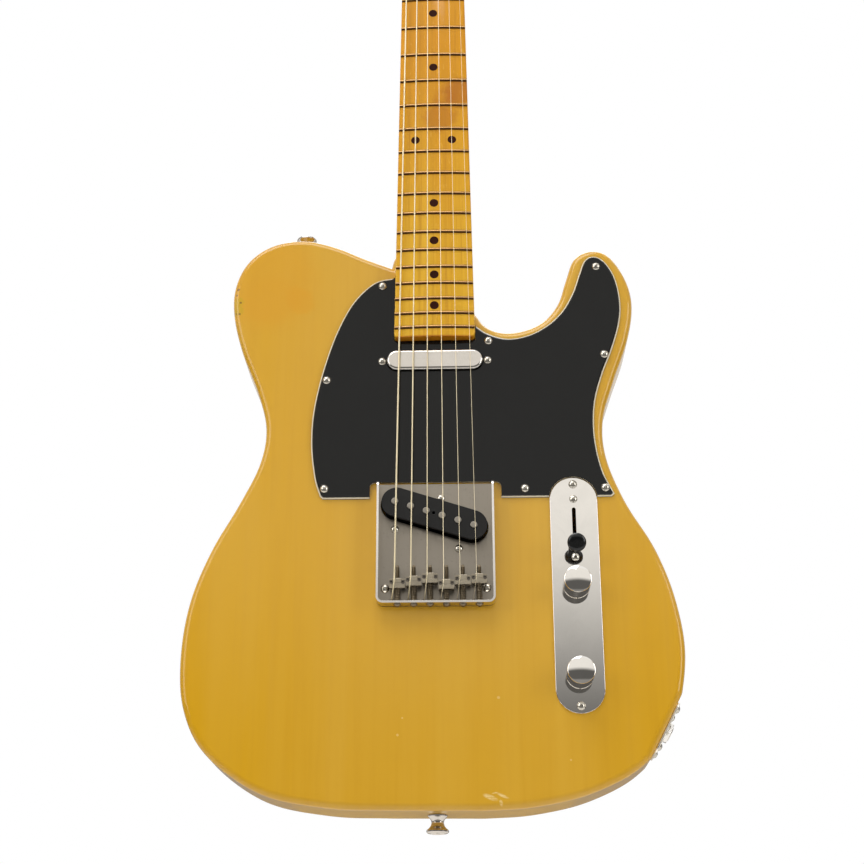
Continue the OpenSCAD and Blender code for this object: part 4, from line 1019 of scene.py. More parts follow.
@dataclass(frozen=True)
class FretWire(Finish):
    """Fret wire painted as lit and shaded parts of one metal: a painted highlight along its crown and painted shade
    along its feet.
    """

    # The crown's colour is the painted highlight; the darker one is the painted shade along the feet.
    crown: Point3 = (176, 136, 84)
    painted_foot_shade: Point3 = (70, 38, 12)
    axis_y: float = 0.2081
    feet: float = 0.24080
    top: float = 0.24105

    def wire(self, graph: Graph) -> None:
        """Wires the painted highlight on the crown and the painted shade at the feet by the distance from the axis
        of the board's curve.

        Args:
            graph: the new material's graph.
        """
        axes = graph.axes()
        depth = graph.math("SUBTRACT", axes["Y"], self.axis_y)
        squares = [graph.math("MULTIPLY", side, side) for side in (axes["X"], depth)]
        reach = graph.math("SQRT", graph.math("ADD", *squares))
        # Near the board the wire is painted dark as shade; further out it is painted light as the lit crown.
        crown = graph.ramp(reach, self.feet, self.top)
        graph.set(Base_Color=graph.mix(crown, linear(*self.painted_foot_shade), linear(*self.crown)), Metallic=0.8)
        graph.set(Roughness=graph.ramp(crown, 0.0, 1.0, 0.45, 0.22))
        graph.bump(graph.noise(graph.place, 900.0, 3.0), 0.00001, 0.5)


@dataclass(frozen=True)
class Plastic(Finish):
    """Moulded plastic, fibre, bone or lacquered wire."""

    colour: Point3 = (20, 20, 20)
    roughness: float = 0.2
    coat: float = 0.0
    mottle: float = 0.12
    grain: float = 0.0
    grain_scale: float = 900.0
    gloss: float = 0.3

    def wire(self, graph: Graph) -> None:
        """Wires a faint mottle and a moulded grain.

        Args:
            graph: the new material's graph.
        """
        colour = linear(*self.colour)
        pale = tuple(min(1.0, c * 1.5 + 0.004) for c in colour[:3]) + (1.0,)
        cloud = graph.noise(graph.place, 45.0, 4.0)
        graph.set(Base_Color=graph.mix(graph.ramp(cloud, 0.3, 0.75, 0.0, self.mottle * 2), colour, pale))
        graph.set(Roughness=graph.ramp(cloud, 0.3, 0.7, self.roughness, self.roughness * 1.25 + 0.01))
        graph.set(Coat_Weight=self.coat, Coat_Roughness=0.04, Specular_IOR_Level=self.gloss)
        if self.grain:
            graph.bump(graph.noise(graph.place, self.grain_scale, 3.0), self.grain, 0.8)


@dataclass(frozen=True)
class DarkWood(Finish):
    """Plain dark wood, such as the strip down the back of the neck."""

    light: Point3 = (104, 64, 34)
    deep: Point3 = (52, 28, 14)

    def wire(self, graph: Graph) -> None:
        """Wires the grain.

        Args:
            graph: the new material's graph.
        """
        grain = graph.noise(graph.stretched((1.0, 1.0, 0.03)), 500.0, 5.0, 0.6, 0.3)
        graph.set(Base_Color=graph.mix(graph.ramp(grain, 0.35, 0.7), linear(*self.light), linear(*self.deep)))
        graph.set(Roughness=0.32, Coat_Weight=0.6, Coat_Roughness=0.08)
        graph.bump(grain, 0.00002, 0.5)


@dataclass(frozen=True)
class RoundWound(Finish):
    """Steel string with a fine wrap, whose ridges run round it."""

    colour: Point3 = (246, 230, 190)
    pitch: float = 0.00045

    def wire(self, graph: Graph) -> None:
        """Wires the ridges along the string, with painted shade in the grooves between them.

        Args:
            graph: the new material's graph.
        """
        axes = graph.axes()
        turn = graph.math("MULTIPLY", axes["Z"], 2 * math.pi / self.pitch)
        ridge = graph.ramp(graph.math("SINE", turn), -1.0, 1.0)
        colour = linear(*self.colour)
        # Painted shade: the grooves between the ridges take a darker copy of the colour.
        dull = tuple(c * 0.72 for c in colour[:3]) + (1.0,)
        graph.set(Base_Color=graph.mix(ridge, dull, colour), Metallic=0.4, Roughness=0.3)
        graph.bump(ridge, 0.00006, 0.6)


BODY_LACQUER = Butterscotch("butterscotch_lacquer")
NECK_LACQUER = AmberMaple("amber_neck_lacquer")
CHROME = Metal("bright_chrome", (236, 232, 226), 0.035, 0.05)
WORN_CHROME = Metal("worn_chrome", (206, 198, 188), 0.09, 0.10, 0.35)
SATIN_CHROME = Metal("satin_chrome", (250, 242, 228), 0.28, 0.08)
BRUSHED_FLOOR = Metal("brushed_bridge_floor", (158, 150, 138), 0.30, 0.08, 0.25, (1.0, 1.0, 0.05))
BRUSHED_COVER = Metal("satin_cover", (216, 210, 202), 0.10, 0.08, 0.0, (0.05, 1.0, 1.0))
SCREW_STEEL = Metal("screw_steel", (196, 190, 178), 0.16, 0.12, 0.3)
SADDLE_STEEL = Metal("saddle_steel", (150, 141, 124), 0.26, 0.14, 0.6)
THREAD_STEEL = Metal("thread_steel", (132, 120, 100), 0.30, 0.14, 0.6)
DARK_STEEL = Metal("dark_steel", (120, 114, 106), 0.30, 0.12, 0.5)
FRET_METAL = FretWire("fret_wire")
BARE_BRASS = Metal("bare_brass", (190, 152, 92), 0.28, 0.12, 0.4)
PLAIN_STRING = Metal("plain_string_steel", (252, 236, 198), 0.28, 0.08, 0.1, None, 0.4)
WOUND_STRING = RoundWound("wound_string_steel")
GUARD_BLACK = Plastic("pickguard_black", (13, 13, 12), 0.10, 0.0, 0.06, gloss=0.28)
GUARD_WHITE = Plastic("pickguard_white", (224, 214, 190), 0.35, 0.0, 0.05)
BLACK_PLASTIC = Plastic("moulded_black", (12, 12, 12), 0.14, 0.0, 0.10, gloss=0.4)
BLACK_FIBRE = Plastic("black_fibre", (20, 19, 18), 0.34, 0.0, 0.15, 0.00003, 1400.0)
POLE_STEEL = Metal("pole_steel", (156, 150, 140), 0.26, 0.12, 0.4)
BLACK_CORD = Plastic("black_cord", (22, 21, 20), 0.6, 0.0, 0.2, 0.0001, 900.0)
COIL_WIRE = Plastic("coil_wire", (66, 34, 18), 0.4, 0.0, 0.2, 0.00008, 2200.0)
DOT_CLAY = Plastic("dark_dots", (46, 18, 8), 0.45, 0.0, 0.2, gloss=0.05)
BONE = Plastic("bone_nut", (228, 214, 178), 0.34, 0.2, 0.15)
STRIPE = DarkWood("walnut_strip")
CLOTH_WIRE = Plastic("cloth_wire", (196, 186, 158), 0.7, 0.0, 0.2, 0.00008, 3000.0)


def deliver(piece: Piece, name: str, finish: Finish, body: str = ROOT,
            replaces: str = "", smooth: float = 35.0) -> Piece:
    """Stands a finished piece in the frame, dresses it and lets it ride on its body.

    Args:
        piece: the piece, on the bench.
        name: its name.
        finish: its finish, or the first of them.
        body: the CAD body that it rides on.
        replaces: the CAD node that it stands for, if it does.
        smooth: faces that fold by less than this are shaded as one, in degrees.

    Returns:
        The same piece.
    """
    activate(piece)
    piece.name = name
    piece.data.name = name
    piece.data.transform(BENCH_TO_FRAME)
    piece.data.update()
    if not piece.data.materials:
        piece.data.materials.append(finish.material())
    bpy.ops.object.shade_smooth_by_angle(angle=math.radians(smooth))
    step = piece.modifiers.new("flat_faces_stay_flat", "WEIGHTED_NORMAL")
    step.keep_sharp = True
    bpy.ops.object.modifier_apply(modifier=step.name)
    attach(piece, body)
    if replaces:
        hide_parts(replaces)
    log.info("%s: %d faces", name, len(piece.data.polygons))
    return piece


def dress(finish: Finish, *nodes: str) -> None:
    """Gives CAD nodes that stay in view their finish.

    Args:
        finish: the finish.
        nodes: names of the nodes.
    """
    for name in nodes:
        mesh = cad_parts[name].data
        mesh.materials.clear()
        mesh.materials.append(finish.material())


# --- shapes used by several assemblies


def centre(outline: Sequence[Point]) -> Point:
    """Middle of an outline's box."""
    xs, ys = [p[0] for p in outline], [p[1] for p in outline]
    return (min(xs) + max(xs)) / 2, (min(ys) + max(ys)) / 2


def spots(node: str, height: float) -> list[Point]:
    """Middles of the outlines in which a level plane meets a CAD node, from the tail to the head."""
    return sorted((centre(loop) for loop in sections(node, height)), key=lambda p: (round(p[1], 1), p[0]))


def refined(outline: Sequence[Point], steps: int = 3) -> Loop:
    """An outline with its curved stretches drawn more finely.

    Args:
        outline: the closed outline.
        steps: spans that each curved span becomes.

    Returns:
        The finer outline.
    """
    count = len(outline)
    points = [Vector(p) for p in outline]

    def bend(i: int) -> float:
        """Turn of the outline at a point, in degrees."""
        a, b = points[i] - points[i - 1], points[(i + 1) % count] - points[i]
        return abs(math.degrees(a.angle(b, 0.0)))

    sharp = [bend(i) > CORNER for i in range(count)]
    made: Loop = []
    for i in range(count):
        j = (i + 1) % count
        b, c = points[i], points[j]
        a = 2 * b - c if sharp[i] else points[i - 1]
        d = 2 * c - b if sharp[j] else points[(j + 1) % count]
        span = (c - b).length
        made.append(tuple(b))
        if sharp[i] and sharp[j] or span > 14 or span < 0.4:
            continue
        start = (c - a).normalized() * span
        end = (d - b).normalized() * span
        for k in range(1, steps):
            t = k / steps
            spot = ((2 * t**3 - 3 * t**2 + 1) * b + (t**3 - 2 * t**2 + t) * start
                    + (3 * t**2 - 2 * t**3) * c + (t**3 - t**2) * end)
            made.append(tuple(spot))
    return made


def inset(outline: Sequence[Point], by: float, zone: Callable[[Point], int]) -> Loop:
    """An outline drawn inwards, with a point for each of its own.

    Args:
        outline: the closed outline, anticlockwise.
        by: how far its edges move.
        zone: 0 for a point between edges that move; edges between points of the same other zone stay.

    Returns:
        The points of the smaller outline.
    """
    count = len(outline)
    points = [Vector(p) for p in outline]
    zones = [zone(p) for p in outline]
    made: Loop = []
    for i, here in enumerate(points):
        j = (i + 1) % count
        before, after = (here - points[i - 1]).normalized(), (points[j] - here).normalized()
        ahead, behind = Vector((-before.y, before.x)), Vector((-after.y, after.x))
        first = 0.0 if zones[i] and zones[i] == zones[i - 1] else by
        second = 0.0 if zones[i] and zones[i] == zones[j] else by
        fold = ahead.dot(behind)
        if first == second:
            shift = (ahead + behind) * first / (1 + fold)
        elif fold < 0.9:
            shift = (ahead * (first - fold * second) + behind * (second - fold * first)) / (1 - fold * fold)
        else:
            shift = ahead * by / 2
        made.append(tuple(here + shift))
    return made


def layered(outline: Sequence[Point], layers: Sequence[Point],
            zone: Callable[[Point], int] = lambda spot: 0) -> Piece:
    """A plate whose edge steps in and out over its height.

    Args:
        outline: the plate's edge, anticlockwise.
        layers: how far in the edge lies, and at what height, from the bottom to the top.
        zone: which edges stay upright, as for inset.

    Returns:
        The plate.
    """
    return loft([[(x, y, height) for x, y in inset(outline, by, zone)] for by, height in layers])


def pierced(piece: Piece, holes: Iterable[Sequence[Point]], low: float, high: float) -> Piece:
    """Cuts holes through a plate.

    Args:
        piece: the plate.
        holes: outlines of the holes.
        low: where the holes start.
        high: where they end.

    Returns:
        The same piece.
    """
    cutters = [slab(hole, low, high) for hole in holes]
    return carve(piece, join(*cutters)) if cutters else piece


def loft(rings: Sequence[Sequence[Point3]]) -> Piece:
    """A skin through a row of closed rings, with both ends closed.

    Args:
        rings: the rings, each with the same number of points.

    Returns:
        The piece.
    """
    piece = disc([(x, z) for x, _, z in rings[0]], 0.0)
    mesh = bmesh.from_edit_mesh(piece.data)
    mesh.verts.ensure_lookup_table()
    for vertex, spot in zip(mesh.verts, rings[0]):
        vertex.co = spot
    bmesh.update_edit_mesh(piece.data)
    for before, after in zip(rings, rings[1:]):
        bpy.ops.mesh.extrude_region_move(TRANSFORM_OT_translate={"value": (0, 0, 0)})
        mesh = bmesh.from_edit_mesh(piece.data)
        front = next(face for face in mesh.faces if face.select)
        first = front.verts[0].co
        shift = min(range(len(before)), key=lambda k: (Vector(before[k]) - first).length)
        way = 1 if (Vector(before[(shift + 1) % len(before)]) - front.verts[1].co).length < 1e-3 else -1
        for k, vertex in enumerate(front.verts):
            vertex.co = after[(shift + way * k) % len(after)]
        bmesh.update_edit_mesh(piece.data)
    return closed(piece)


def cross_screw(head: float, shank: float, length: float, rise: float) -> Piece:
    """A domed screw with a cross recess; its head's underside lies on the bench.

    Args:
        head: width of the head.
        shank: width of the shank.
        length: length below the head.
        rise: height of the head as a share of its width.

    Returns:
        The screw.
    """
    top = head * rise
    crown = (head * head / 4 + top * top) / (2 * top)
    lip = math.asin(head / 2 / crown)
    dome = [(crown * math.sin(a), top - crown + crown * math.cos(a)) for a in
            (lip * share for share in (0.985, 0.9, 0.75, 0.55, 0.35, 0.12))]
    piece = turned([(0.2, -length), (shank / 2, shank - length), (shank / 2, 0.0), (head / 2, 0.0),
                    (head / 2, 0.12)] + dome, 32)
    tools = []
    for turn in (0, 90):
        tool = block((head * 0.50, head * 0.13, head * 0.5), (0, 0, top - head * 0.17 + head * 0.25))
        for vertex in tool.data.vertices:
            if vertex.co.z < top:
                vertex.co.x *= 0.55
                vertex.co.y *= 0.75
        tools.append(place(tool, Matrix.Rotation(math.radians(turn), 4, "Z")))
    return carve(piece, *tools)


def hex_nut(across: float, height: float, bore: float) -> Piece:
    """A six-sided nut with chamfered corners, standing on the bench.

    Args:
        across: width across the flats.
        height: its height.
        bore: width of its hole.

    Returns:
        The nut.
    """
    piece = slab(arc((0, 0), across / 2 / math.cos(math.radians(30)), 0, 300, 5), 0.0, height)
    crown = turned([(across * 0.62, -0.1), (across * 0.60, height * 0.62), (across * 0.505, height + 0.02)], 48)
    piece = carve(piece, crown, how="INTERSECT")
    return carve(bevel(piece, 0.12, 2, 40), turned([(bore / 2, -1), (bore / 2, height + 1)], 40))


def helix(foot: Point3, radius: float, pitch: float, turns: float, axis: Axis, per_turn: int) -> list[Vector]:
    """Points on a coil.

    Args:
        foot: foot of the coil's axis.
        radius: radius of the centre line.
        pitch: rise of each turn.
        turns: number of turns.
        axis: way that the coil climbs.
        per_turn: points on a turn.

    Returns:
        The points, from the foot.
    """
    basis = Matrix.Translation(foot) @ axis.turn()
    count = int(turns * per_turn)
    steps = [2 * math.pi * k / per_turn for k in range(count + 1)]
    return [basis @ Vector((radius * math.cos(a), radius * math.sin(a), pitch * a / (2 * math.pi)))
            for a in steps]


# --- body and its plates


@dataclass
class BodyBlank:
    """The body, its pickguard and what is screwed to its back and edge."""

    layout: Layout
    edge: float = 5.0
    pocket_depth: float = 16.0
    pocket_gap: float = 0.15
    pocket_len: float = 70.5
    guard_layers: tuple[Point, ...] = ((0.0, 0.0), (0.0, 0.75), (0.85, 1.6), (1.65, 2.4))
    bridge_notch: Point = (5.4, 1.4)
    control_notch: float = 0.6
    neck_notch: Point = (29.6, 0.8)
    outline_level: float = -15.0
    cavity_level: float = 8.0
    cavity_area: float = 300.0
    cavity_floors: dict[str, float] = field(default_factory=lambda: {"bridge": 20.0, "control": 36.0, "neck": 17.0})

    def build(self) -> None:
        """Makes every piece of the sub-assembly."""
        self.blank()
        self.pickguard()
        self.screws()
        self.neck_plate()
        self.strap_buttons()
        self.ferrules()

    def blank(self) -> None:
        """Saws the body out, rounds its edge and cuts its pocket and cavities."""
        lay = self.layout
        steps = [(self.edge * (1 - math.sin(a)), self.edge * (1 - math.cos(a)))
                 for a in (math.radians(10 * k) for k in range(10))]
        piece = layered(refined(sections("body", self.outline_level)[0]),
                        [(by, lay.back + rise) for by, rise in steps]
                        + [(by, lay.face - rise) for by, rise in steps[::-1]])
        floor = lay.face - self.pocket_depth
        low, high = lay.neck_end - self.pocket_gap, lay.neck_end + self.pocket_len + 30
        pocket = [(-lay.half_width(low) - self.pocket_gap, low), (lay.half_width(low) + self.pocket_gap, low),
                  (lay.half_width(high) + self.pocket_gap, high), (-lay.half_width(high) - self.pocket_gap, high)]
        tools = [slab(pocket, floor, lay.face + 5)]
        for loop in sections("body", lay.face - self.cavity_level)[1:]:
            x, y = centre(loop)
            if abs(signed_area(loop)) < self.cavity_area:
                continue
            kind = "control" if x > 50 else "neck" if y > lay.neck_end - 60 else "bridge"
            tools.append(slab(loop, lay.face - self.cavity_floors[kind], lay.face + 5))
        tools.append(place(turned([(11, -50), (11, 3)], 40), JACK.matrix()))
        carve(piece, *tools)
        deliver(piece, "body_lacquered", BODY_LACQUER, replaces="body", smooth=32)

    def pickguard(self) -> None:
        """Cuts the three-layer plate, its outer edge sloping through the pale layer."""
        lay = self.layout
        outline, *holes = sections("pickguard", lay.face + 0.3)
        bridge_low, bridge_high = bench_box("bridge_plate")
        control_low, control_high = bench_box("control_plate")
        bridge_reach = max(bridge_high.x, -bridge_low.x) + self.bridge_notch[0]

        def upright_cut(spot: Point) -> int:
            """The upright cut that a point of the edge lies on.

            Args:
                spot: the point.

            Returns:
                1 for the bridge, 2 for the controls, 3 for the neck and 0 for none.
            """
            x, y = spot
            room = self.control_notch
            if abs(x) < bridge_reach and y < bridge_high.y + self.bridge_notch[1]:
                return 1
            if control_low.x - room < x < control_high.x + room and y < control_high.y + room:
                return 2
            return 3 if abs(x) < self.neck_notch[0] and y > lay.neck_end - self.neck_notch[1] else 0

        layers = [(by, lay.face + rise) for by, rise in self.guard_layers]
        piece = layered(refined(outline), layers, upright_cut)
        piece.data.materials.append(GUARD_BLACK.material())
        piece.data.materials.append(GUARD_WHITE.material())
        low, high = (lay.face + self.guard_layers[k][1] for k in (1, 2))
        for face in piece.data.polygons:
            if low < face.center.z < high:
                face.material_index = 1
        pierced(piece, holes, lay.face - 1, lay.face + self.guard_layers[-1][1] + 1)
        deliver(piece, "pickguard_plate", GUARD_BLACK, replaces="pickguard", smooth=24)

    def screws(self) -> None:
        """Sets the plate screws, each head on its own plate."""
        lay = self.layout
        places = []
        for k, (x, y) in enumerate(spots("plate_screws", lay.face - 4.0)):
            places.append(at(x, y, lay.seat(x, y), spin=17 + 41 * k))
        hold = JACK.matrix()
        for k, (x, y) in enumerate(((1, 1), (-1, 1), (-1, -1), (1, -1))):
            places.append(hold @ at(x * JACK.corner, y * JACK.corner, JACK.sheet, spin=12 + 33 * k))
        piece = copies(cross_screw(5.8, 2.4, 10.5, 0.30), places)
        deliver(piece, "small_plate_screws", SCREW_STEEL, replaces="plate_screws", smooth=30)

    def neck_plate(self) -> None:
        """Presses the plate on the back and sets its four screws."""
        lay = self.layout
        low, high = bench_box("neck_plate")
        y0 = middle("neck_plate")[1]
        piece = slab(moved(round_rect(high.x - low.x, high.y - low.y, 5.0, 8), 0, y0), low.z, high.z)
        bevel(piece, 0.7, 3, 50)
        holes = [moved(arc((0, 0), 2.5, 0, 345, 23), x, y) for x, y in spots("neck_plate", (low.z + high.z) / 2)
                 if math.hypot(x, y - y0) > 5]
        pierced(piece, holes, low.z - 1, high.z + 1)
        deliver(piece, "neck_plate_pressed", CHROME, replaces="neck_plate")
        places = [at(x, y, low.z, Axis.DOWN, 25 + 50 * k)
                  for k, (x, y) in enumerate(spots("neck_screws", lay.back + 4))]
        screws = copies(cross_screw(8.6, 4.4, 43, 0.27), places)
        deliver(screws, "neck_plate_screws", SCREW_STEEL, replaces="neck_screws", smooth=30)

    def strap_buttons(self) -> None:
        """Turns the two strap buttons and their screws."""
        low, high = bench_box("strap_buttons")
        length = -low.y
        half = (high.z - low.z) / 2
        wall = [(2.3, 0.0), (half * 0.86, 0.0), (half * 0.9, 0.35), (half * 0.88, 1.1), (half * 0.74, 2.0),
                (half * 0.58, 3.6), (half * 0.55, 5.2), (half * 0.62, 7.0), (half * 0.80, 8.6),
                (half * 0.95, 9.4), (half, 10.1), (half * 0.985, 10.9), (half * 0.88, 11.6),
                (half * 0.66, length), (4.5, length - 0.2), (2.3, length - 2.8)]
        shoulder = (bench_box("strap_buttons")[0].x + half, high.y - length)
        places = [at(0, 0, 0, Axis.TAIL), at(shoulder[0], shoulder[1], 0, Axis.HEAD)]
        piece = copies(ring(wall, 48), places)
        deliver(piece, "strap_buttons_turned", WORN_CHROME, replaces="strap_buttons")
        pattern = cross_screw(7.6, 3.4, 30, 0.2)
        seats = [matrix @ at(0, 0, length - 1.9, spin=30) for matrix in places]
        deliver(copies(pattern, seats), "strap_button_screws", SCREW_STEEL, replaces="strap_screws")

    def ferrules(self) -> None:
        """Turns the six ferrules that hold the ball ends in the back."""
        wall = [(2.5, 0.0), (4.7, 0.0), (4.95, 0.25), (4.95, 1.2), (4.0, 1.2), (4.0, 9.0), (1.2, 9.0),
                (1.2, 7.0), (2.5, 7.0)]
        places = [at(x, y, self.layout.back - 0.02) for x, y in spots("string_ferrules", self.layout.back + 8)]
        deliver(copies(ring(wall, 36), places), "string_ferrules_turned", CHROME, replaces="string_ferrules")


@dataclass
class JackCup:
    """The square jack plate on the body's edge, with its socket."""

    plate: float = 36.0
    sheet: float = 1.6
    washer: float = 0.6
    nut: float = 2.2
    thread: float = 9.4
    bore: float = 6.4
    turn: float = -28.0

    def matrix(self) -> Matrix:
        """Place of the plate's underside, which faces out of the body's edge.

        Returns:
            The matrix whose Z points out of the body.
        """
        low, high = bench_box("jack_plate")
        way = math.radians(self.turn)
        reach = self.plate / 2
        x = high.x - reach * abs(math.sin(way)) - self.sheet * math.cos(way)
        y = low.y + reach * abs(math.cos(way)) + self.sheet * abs(math.sin(way))
        return (Matrix.Translation((x, y, 0)) @ Matrix.Rotation(way, 4, "Z")
                @ Matrix.Rotation(math.radians(90), 4, "Y"))

    @property
    def corner(self) -> float:
        """How far the corner screws lie from the plate's middle, each way."""
        return self.plate / 2 - 4.5

    def build(self) -> None:
        """Makes the plate, the sleeve of the socket and its tip spring."""
        hold = self.matrix()
        plate = bevel(slab(round_rect(self.plate, self.plate, 4.0, 8), 0.0, self.sheet), 0.5, 3)
        corner = self.corner
        holes = [moved(arc((0, 0), 1.7, 0, 340, 17), x * corner, y * corner) for x in (-1, 1) for y in (-1, 1)]
        pierced(plate, [*holes, arc((0, 0), self.thread / 2 + 0.1, 0, 350, 35)], -1, self.sheet + 1)
        deliver(place(plate, hold), "jack_plate_pressed", SATIN_CHROME, replaces="jack_plate")
        top = self.sheet + self.washer + self.nut + 0.6
        r, bore = self.thread / 2, self.bore / 2
        wall = [(bore, -4.0), (8.0, -4.0), (8.0, -0.1), (r, -0.1), (r, top - 0.4), (r - 0.4, top),
                (bore + 0.35, top), (bore, top - 0.35)]
        deliver(place(ring(wall, 40), hold), "jack_sleeve", WORN_CHROME)
        spring = join(block((0.7, 4, 23), (6.95, 0, -14.5), 0.15), block((5.5, 4, 0.7), (4.55, 0, -26.2), 0.15))
        deliver(place(spring, hold), "jack_tip_spring", BARE_BRASS, replaces="output_jack")


JACK = JackCup()


# --- neck


@dataclass
class Neck:
    """The neck and head in one sweep, from the heel to the tip."""

    layout: Layout
    blade: float = 6.0
    heel_depth: float = 25.4
    pocket_len: float = 70.5
    depth_nut: float = 20.5
    depth_mid: float = 23.0
    skin: float = 0.03
    end_round: float = 3.0
    scoop: float = 16.0
    head_corner: float = 2.2
    head_level: float = 6.0
    board_edge: float = 0.9
    heel_run: float = 34.0
    roundness: float = 2.1
    heel_squareness: float = 5.0

    def build(self) -> None:
        """Makes the neck and dresses the pieces let into it."""
        rings = [self.ring(y) for y in self.stations()]
        deliver(loft(rings), "neck_lacquered", NECK_LACQUER, replaces="neck", smooth=40)
        dress(STRIPE, "skunk_stripe")
        dress(FRET_METAL, "frets")
        dress(DOT_CLAY, "position_dots")
        dress(BONE, "nut")
        dress(DARK_STEEL, "truss_rod")
        dress(BARE_BRASS, "truss_rod_nut")

    def stations(self) -> list[float]:
        """Places along the neck at which a ring is laid.

        Returns:
            The places, from the heel to the tip.
        """
        lay = self.layout
        mouth = lay.neck_end + self.pocket_len
        start = [lay.neck_end + self.end_round * (1 - math.cos(math.radians(a))) for a in range(0, 91, 15)]
        heel = [lay.neck_end + 12 + 12 * k for k in range(5)]
        turn = [mouth + 2 + 2.5 * k for k in range(18)]
        shaft = [mouth + 60 + 24 * k for k in range(14) if mouth + 60 + 24 * k < lay.nut_y - 12]
        volute = [lay.nut_y - 6, lay.nut_y - 1, lay.nut_y + 3.3, lay.nut_y + 4.5, lay.nut_y + 4.8]
        bend = [lay.nut_y + 5.6 + 1.5 * k for k in range(24)]
        head = [lay.nut_y + 44 + 5 * k for k in range(40) if lay.nut_y + 44 + 5 * k < lay.tip_y - 24]
        left = lay.tip_y - 22
        tip = [left + 21.95 * math.sin(math.radians(a)) for a in range(0, 91, 5)]
        return start + heel + turn + shaft + volute + bend + head + tip

    @cached_property
    def head_outline(self) -> Loop:
        """The outline of the head, cut half way through it."""
        return refined(sections("neck", self.layout.head_back + self.head_level)[0], 3)

    def head_edges(self, y: float) -> tuple[float, float]:
        """Both edges of the head.

        Args:
            y: place along the neck.

        Returns:
            The bass and the treble edge there.
        """
        outline = self.head_outline
        crossings = []
        for (ax, ay), (bx, by) in zip(outline, [*outline[1:], outline[0]]):
            if (ay - y) * (by - y) <= 0 and ay != by:
                crossings.append(ax + (bx - ax) * (y - ay) / (by - ay))
        return (min(crossings), max(crossings)) if crossings else (0.0, 0.0)

    @staticmethod
    def ease(share: float) -> float:
        """A smooth step from 0 to 1."""
        share = max(0.0, min(1.0, share))
        return share * share * (3 - 2 * share)

    def top(self, x: float, y: float) -> float:
        """Height of the playing surface, or of the head's face past the nut.

        Args:
            x: place across.
            y: place along.

        Returns:
            The height there.
        """
        lay = self.layout
        board = lay.board - lay.drop(x)
        past = y - lay.nut_y - 4.6
        if past <= 0:
            return board
        rise = lay.board - lay.head_face - 1.5
        run = math.sqrt(self.scoop**2 - (self.scoop - rise) ** 2)
        if past >= run:
            return lay.head_face
        return lay.head_face + self.scoop - math.sqrt(self.scoop**2 - (run - past) ** 2)

    def sides(self, y: float) -> tuple[float, float]:
        """Both sides of the neck, with its rounded end, or of the head.

        Args:
            y: place along the neck.

        Returns:
            The bass and the treble side there.
        """
        lay = self.layout
        if y < lay.nut_y - 2:
            back_in = self.end_round - min(self.end_round, y - lay.neck_end)
            trim = self.end_round - math.sqrt(max(0.0, self.end_round**2 - back_in**2))
            low, high = -lay.half_width(y) + trim, lay.half_width(y) - trim
        else:
            low, high = self.head_edges(min(y, lay.tip_y - 0.02))
        return low + self.skin, high - self.skin

    def back_shape(self, y: float) -> tuple[float, float, float]:
        """How the back of the neck is shaped, which turns from round to square at the heel and at the head.

        Args:
            y: place along the neck.

        Returns:
            Its depth below the playing surface, the power of its oval, and the share of a box in it.
        """
        lay = self.layout
        u = lay.nut_y - y
        into_heel = u - (lay.nut_y - lay.neck_end - self.pocket_len)
        depth = self.depth_nut + (self.depth_mid - self.depth_nut) * min(1.6, max(0.0, u) / (lay.scale / 2))
        depth += (self.heel_depth - depth) * self.ease((into_heel + self.heel_run) / self.heel_run)
        power = self.roundness + self.heel_squareness * self.ease((into_heel + 30) / self.heel_run)
        boxed = max(self.ease((into_heel + 12) / 14), self.ease((8 - u) / 40))
        return depth, power, boxed

    def ring(self, y: float) -> list[Point3]:
        """One closed section of the neck.

        Args:
            y: place along the neck.

        Returns:
            Its points: down the bass side, round the back, up the treble side and across the top.
        """
        low, high = self.sides(y)
        middle_x, half = (low + high) / 2, max(0.02, (high - low) / 2)
        depth, power, boxed = self.back_shape(y)
        board = self.layout.board
        corner = min(self.board_edge, half * 0.5)
        across = [low + corner + (high - low - 2 * corner) * k / 16 for k in range(17)]
        points = [(x, self.top(x, y) - self.skin) for x in across]
        rim = self.top(high, y) - self.skin - corner
        points += arc((high - corner, rim), corner, 60, 0, 2)
        shoulder = min(board - self.blade, rim - 0.5)
        drop = shoulder - (board - depth + self.skin)
        radius = min(self.head_corner, half * 0.8)
        steps = 36
        for k in range(steps + 1):
            a = math.radians(180 * k / steps)
            c, s = math.cos(a), math.sin(a)
            dx = math.copysign(abs(c) ** (2 / power), c) * half
            dz = abs(s) ** (2 / power) * drop
            bx, bz = self.boxed_point(k / steps, half, drop, radius)
            points.append((middle_x + dx + (bx - dx) * boxed, shoulder - dz - (bz - dz) * boxed))
        rim = self.top(low, y) - self.skin - corner
        points += arc((low + corner, rim), corner, 180, 120, 2)
        return [(x, y, z) for x, z in reversed(points)]

    @staticmethod
    def boxed_point(share: float, half: float, drop: float, radius: float) -> Point:
        """A point on a box-shaped back with round lower corners.

        Args:
            share: how far along the back it lies, from the treble side.
            half: half the width.
            drop: depth of the sides.
            radius: radius of the corners.

        Returns:
            Its place across, and its depth below the sides' top.
        """
        side = share if share <= 0.5 else 1 - share
        sign = 1 if share <= 0.5 else -1
        if side < 0.12:
            return sign * half, side / 0.12 * (drop - radius)
        if side < 0.24:
            a = (side - 0.12) / 0.12 * math.pi / 2
            return sign * (half - radius + radius * math.cos(a)), drop - radius + radius * math.sin(a)
        return sign * (half - radius) * (0.5 - side) / 0.26, drop


# --- strings, tuners and head


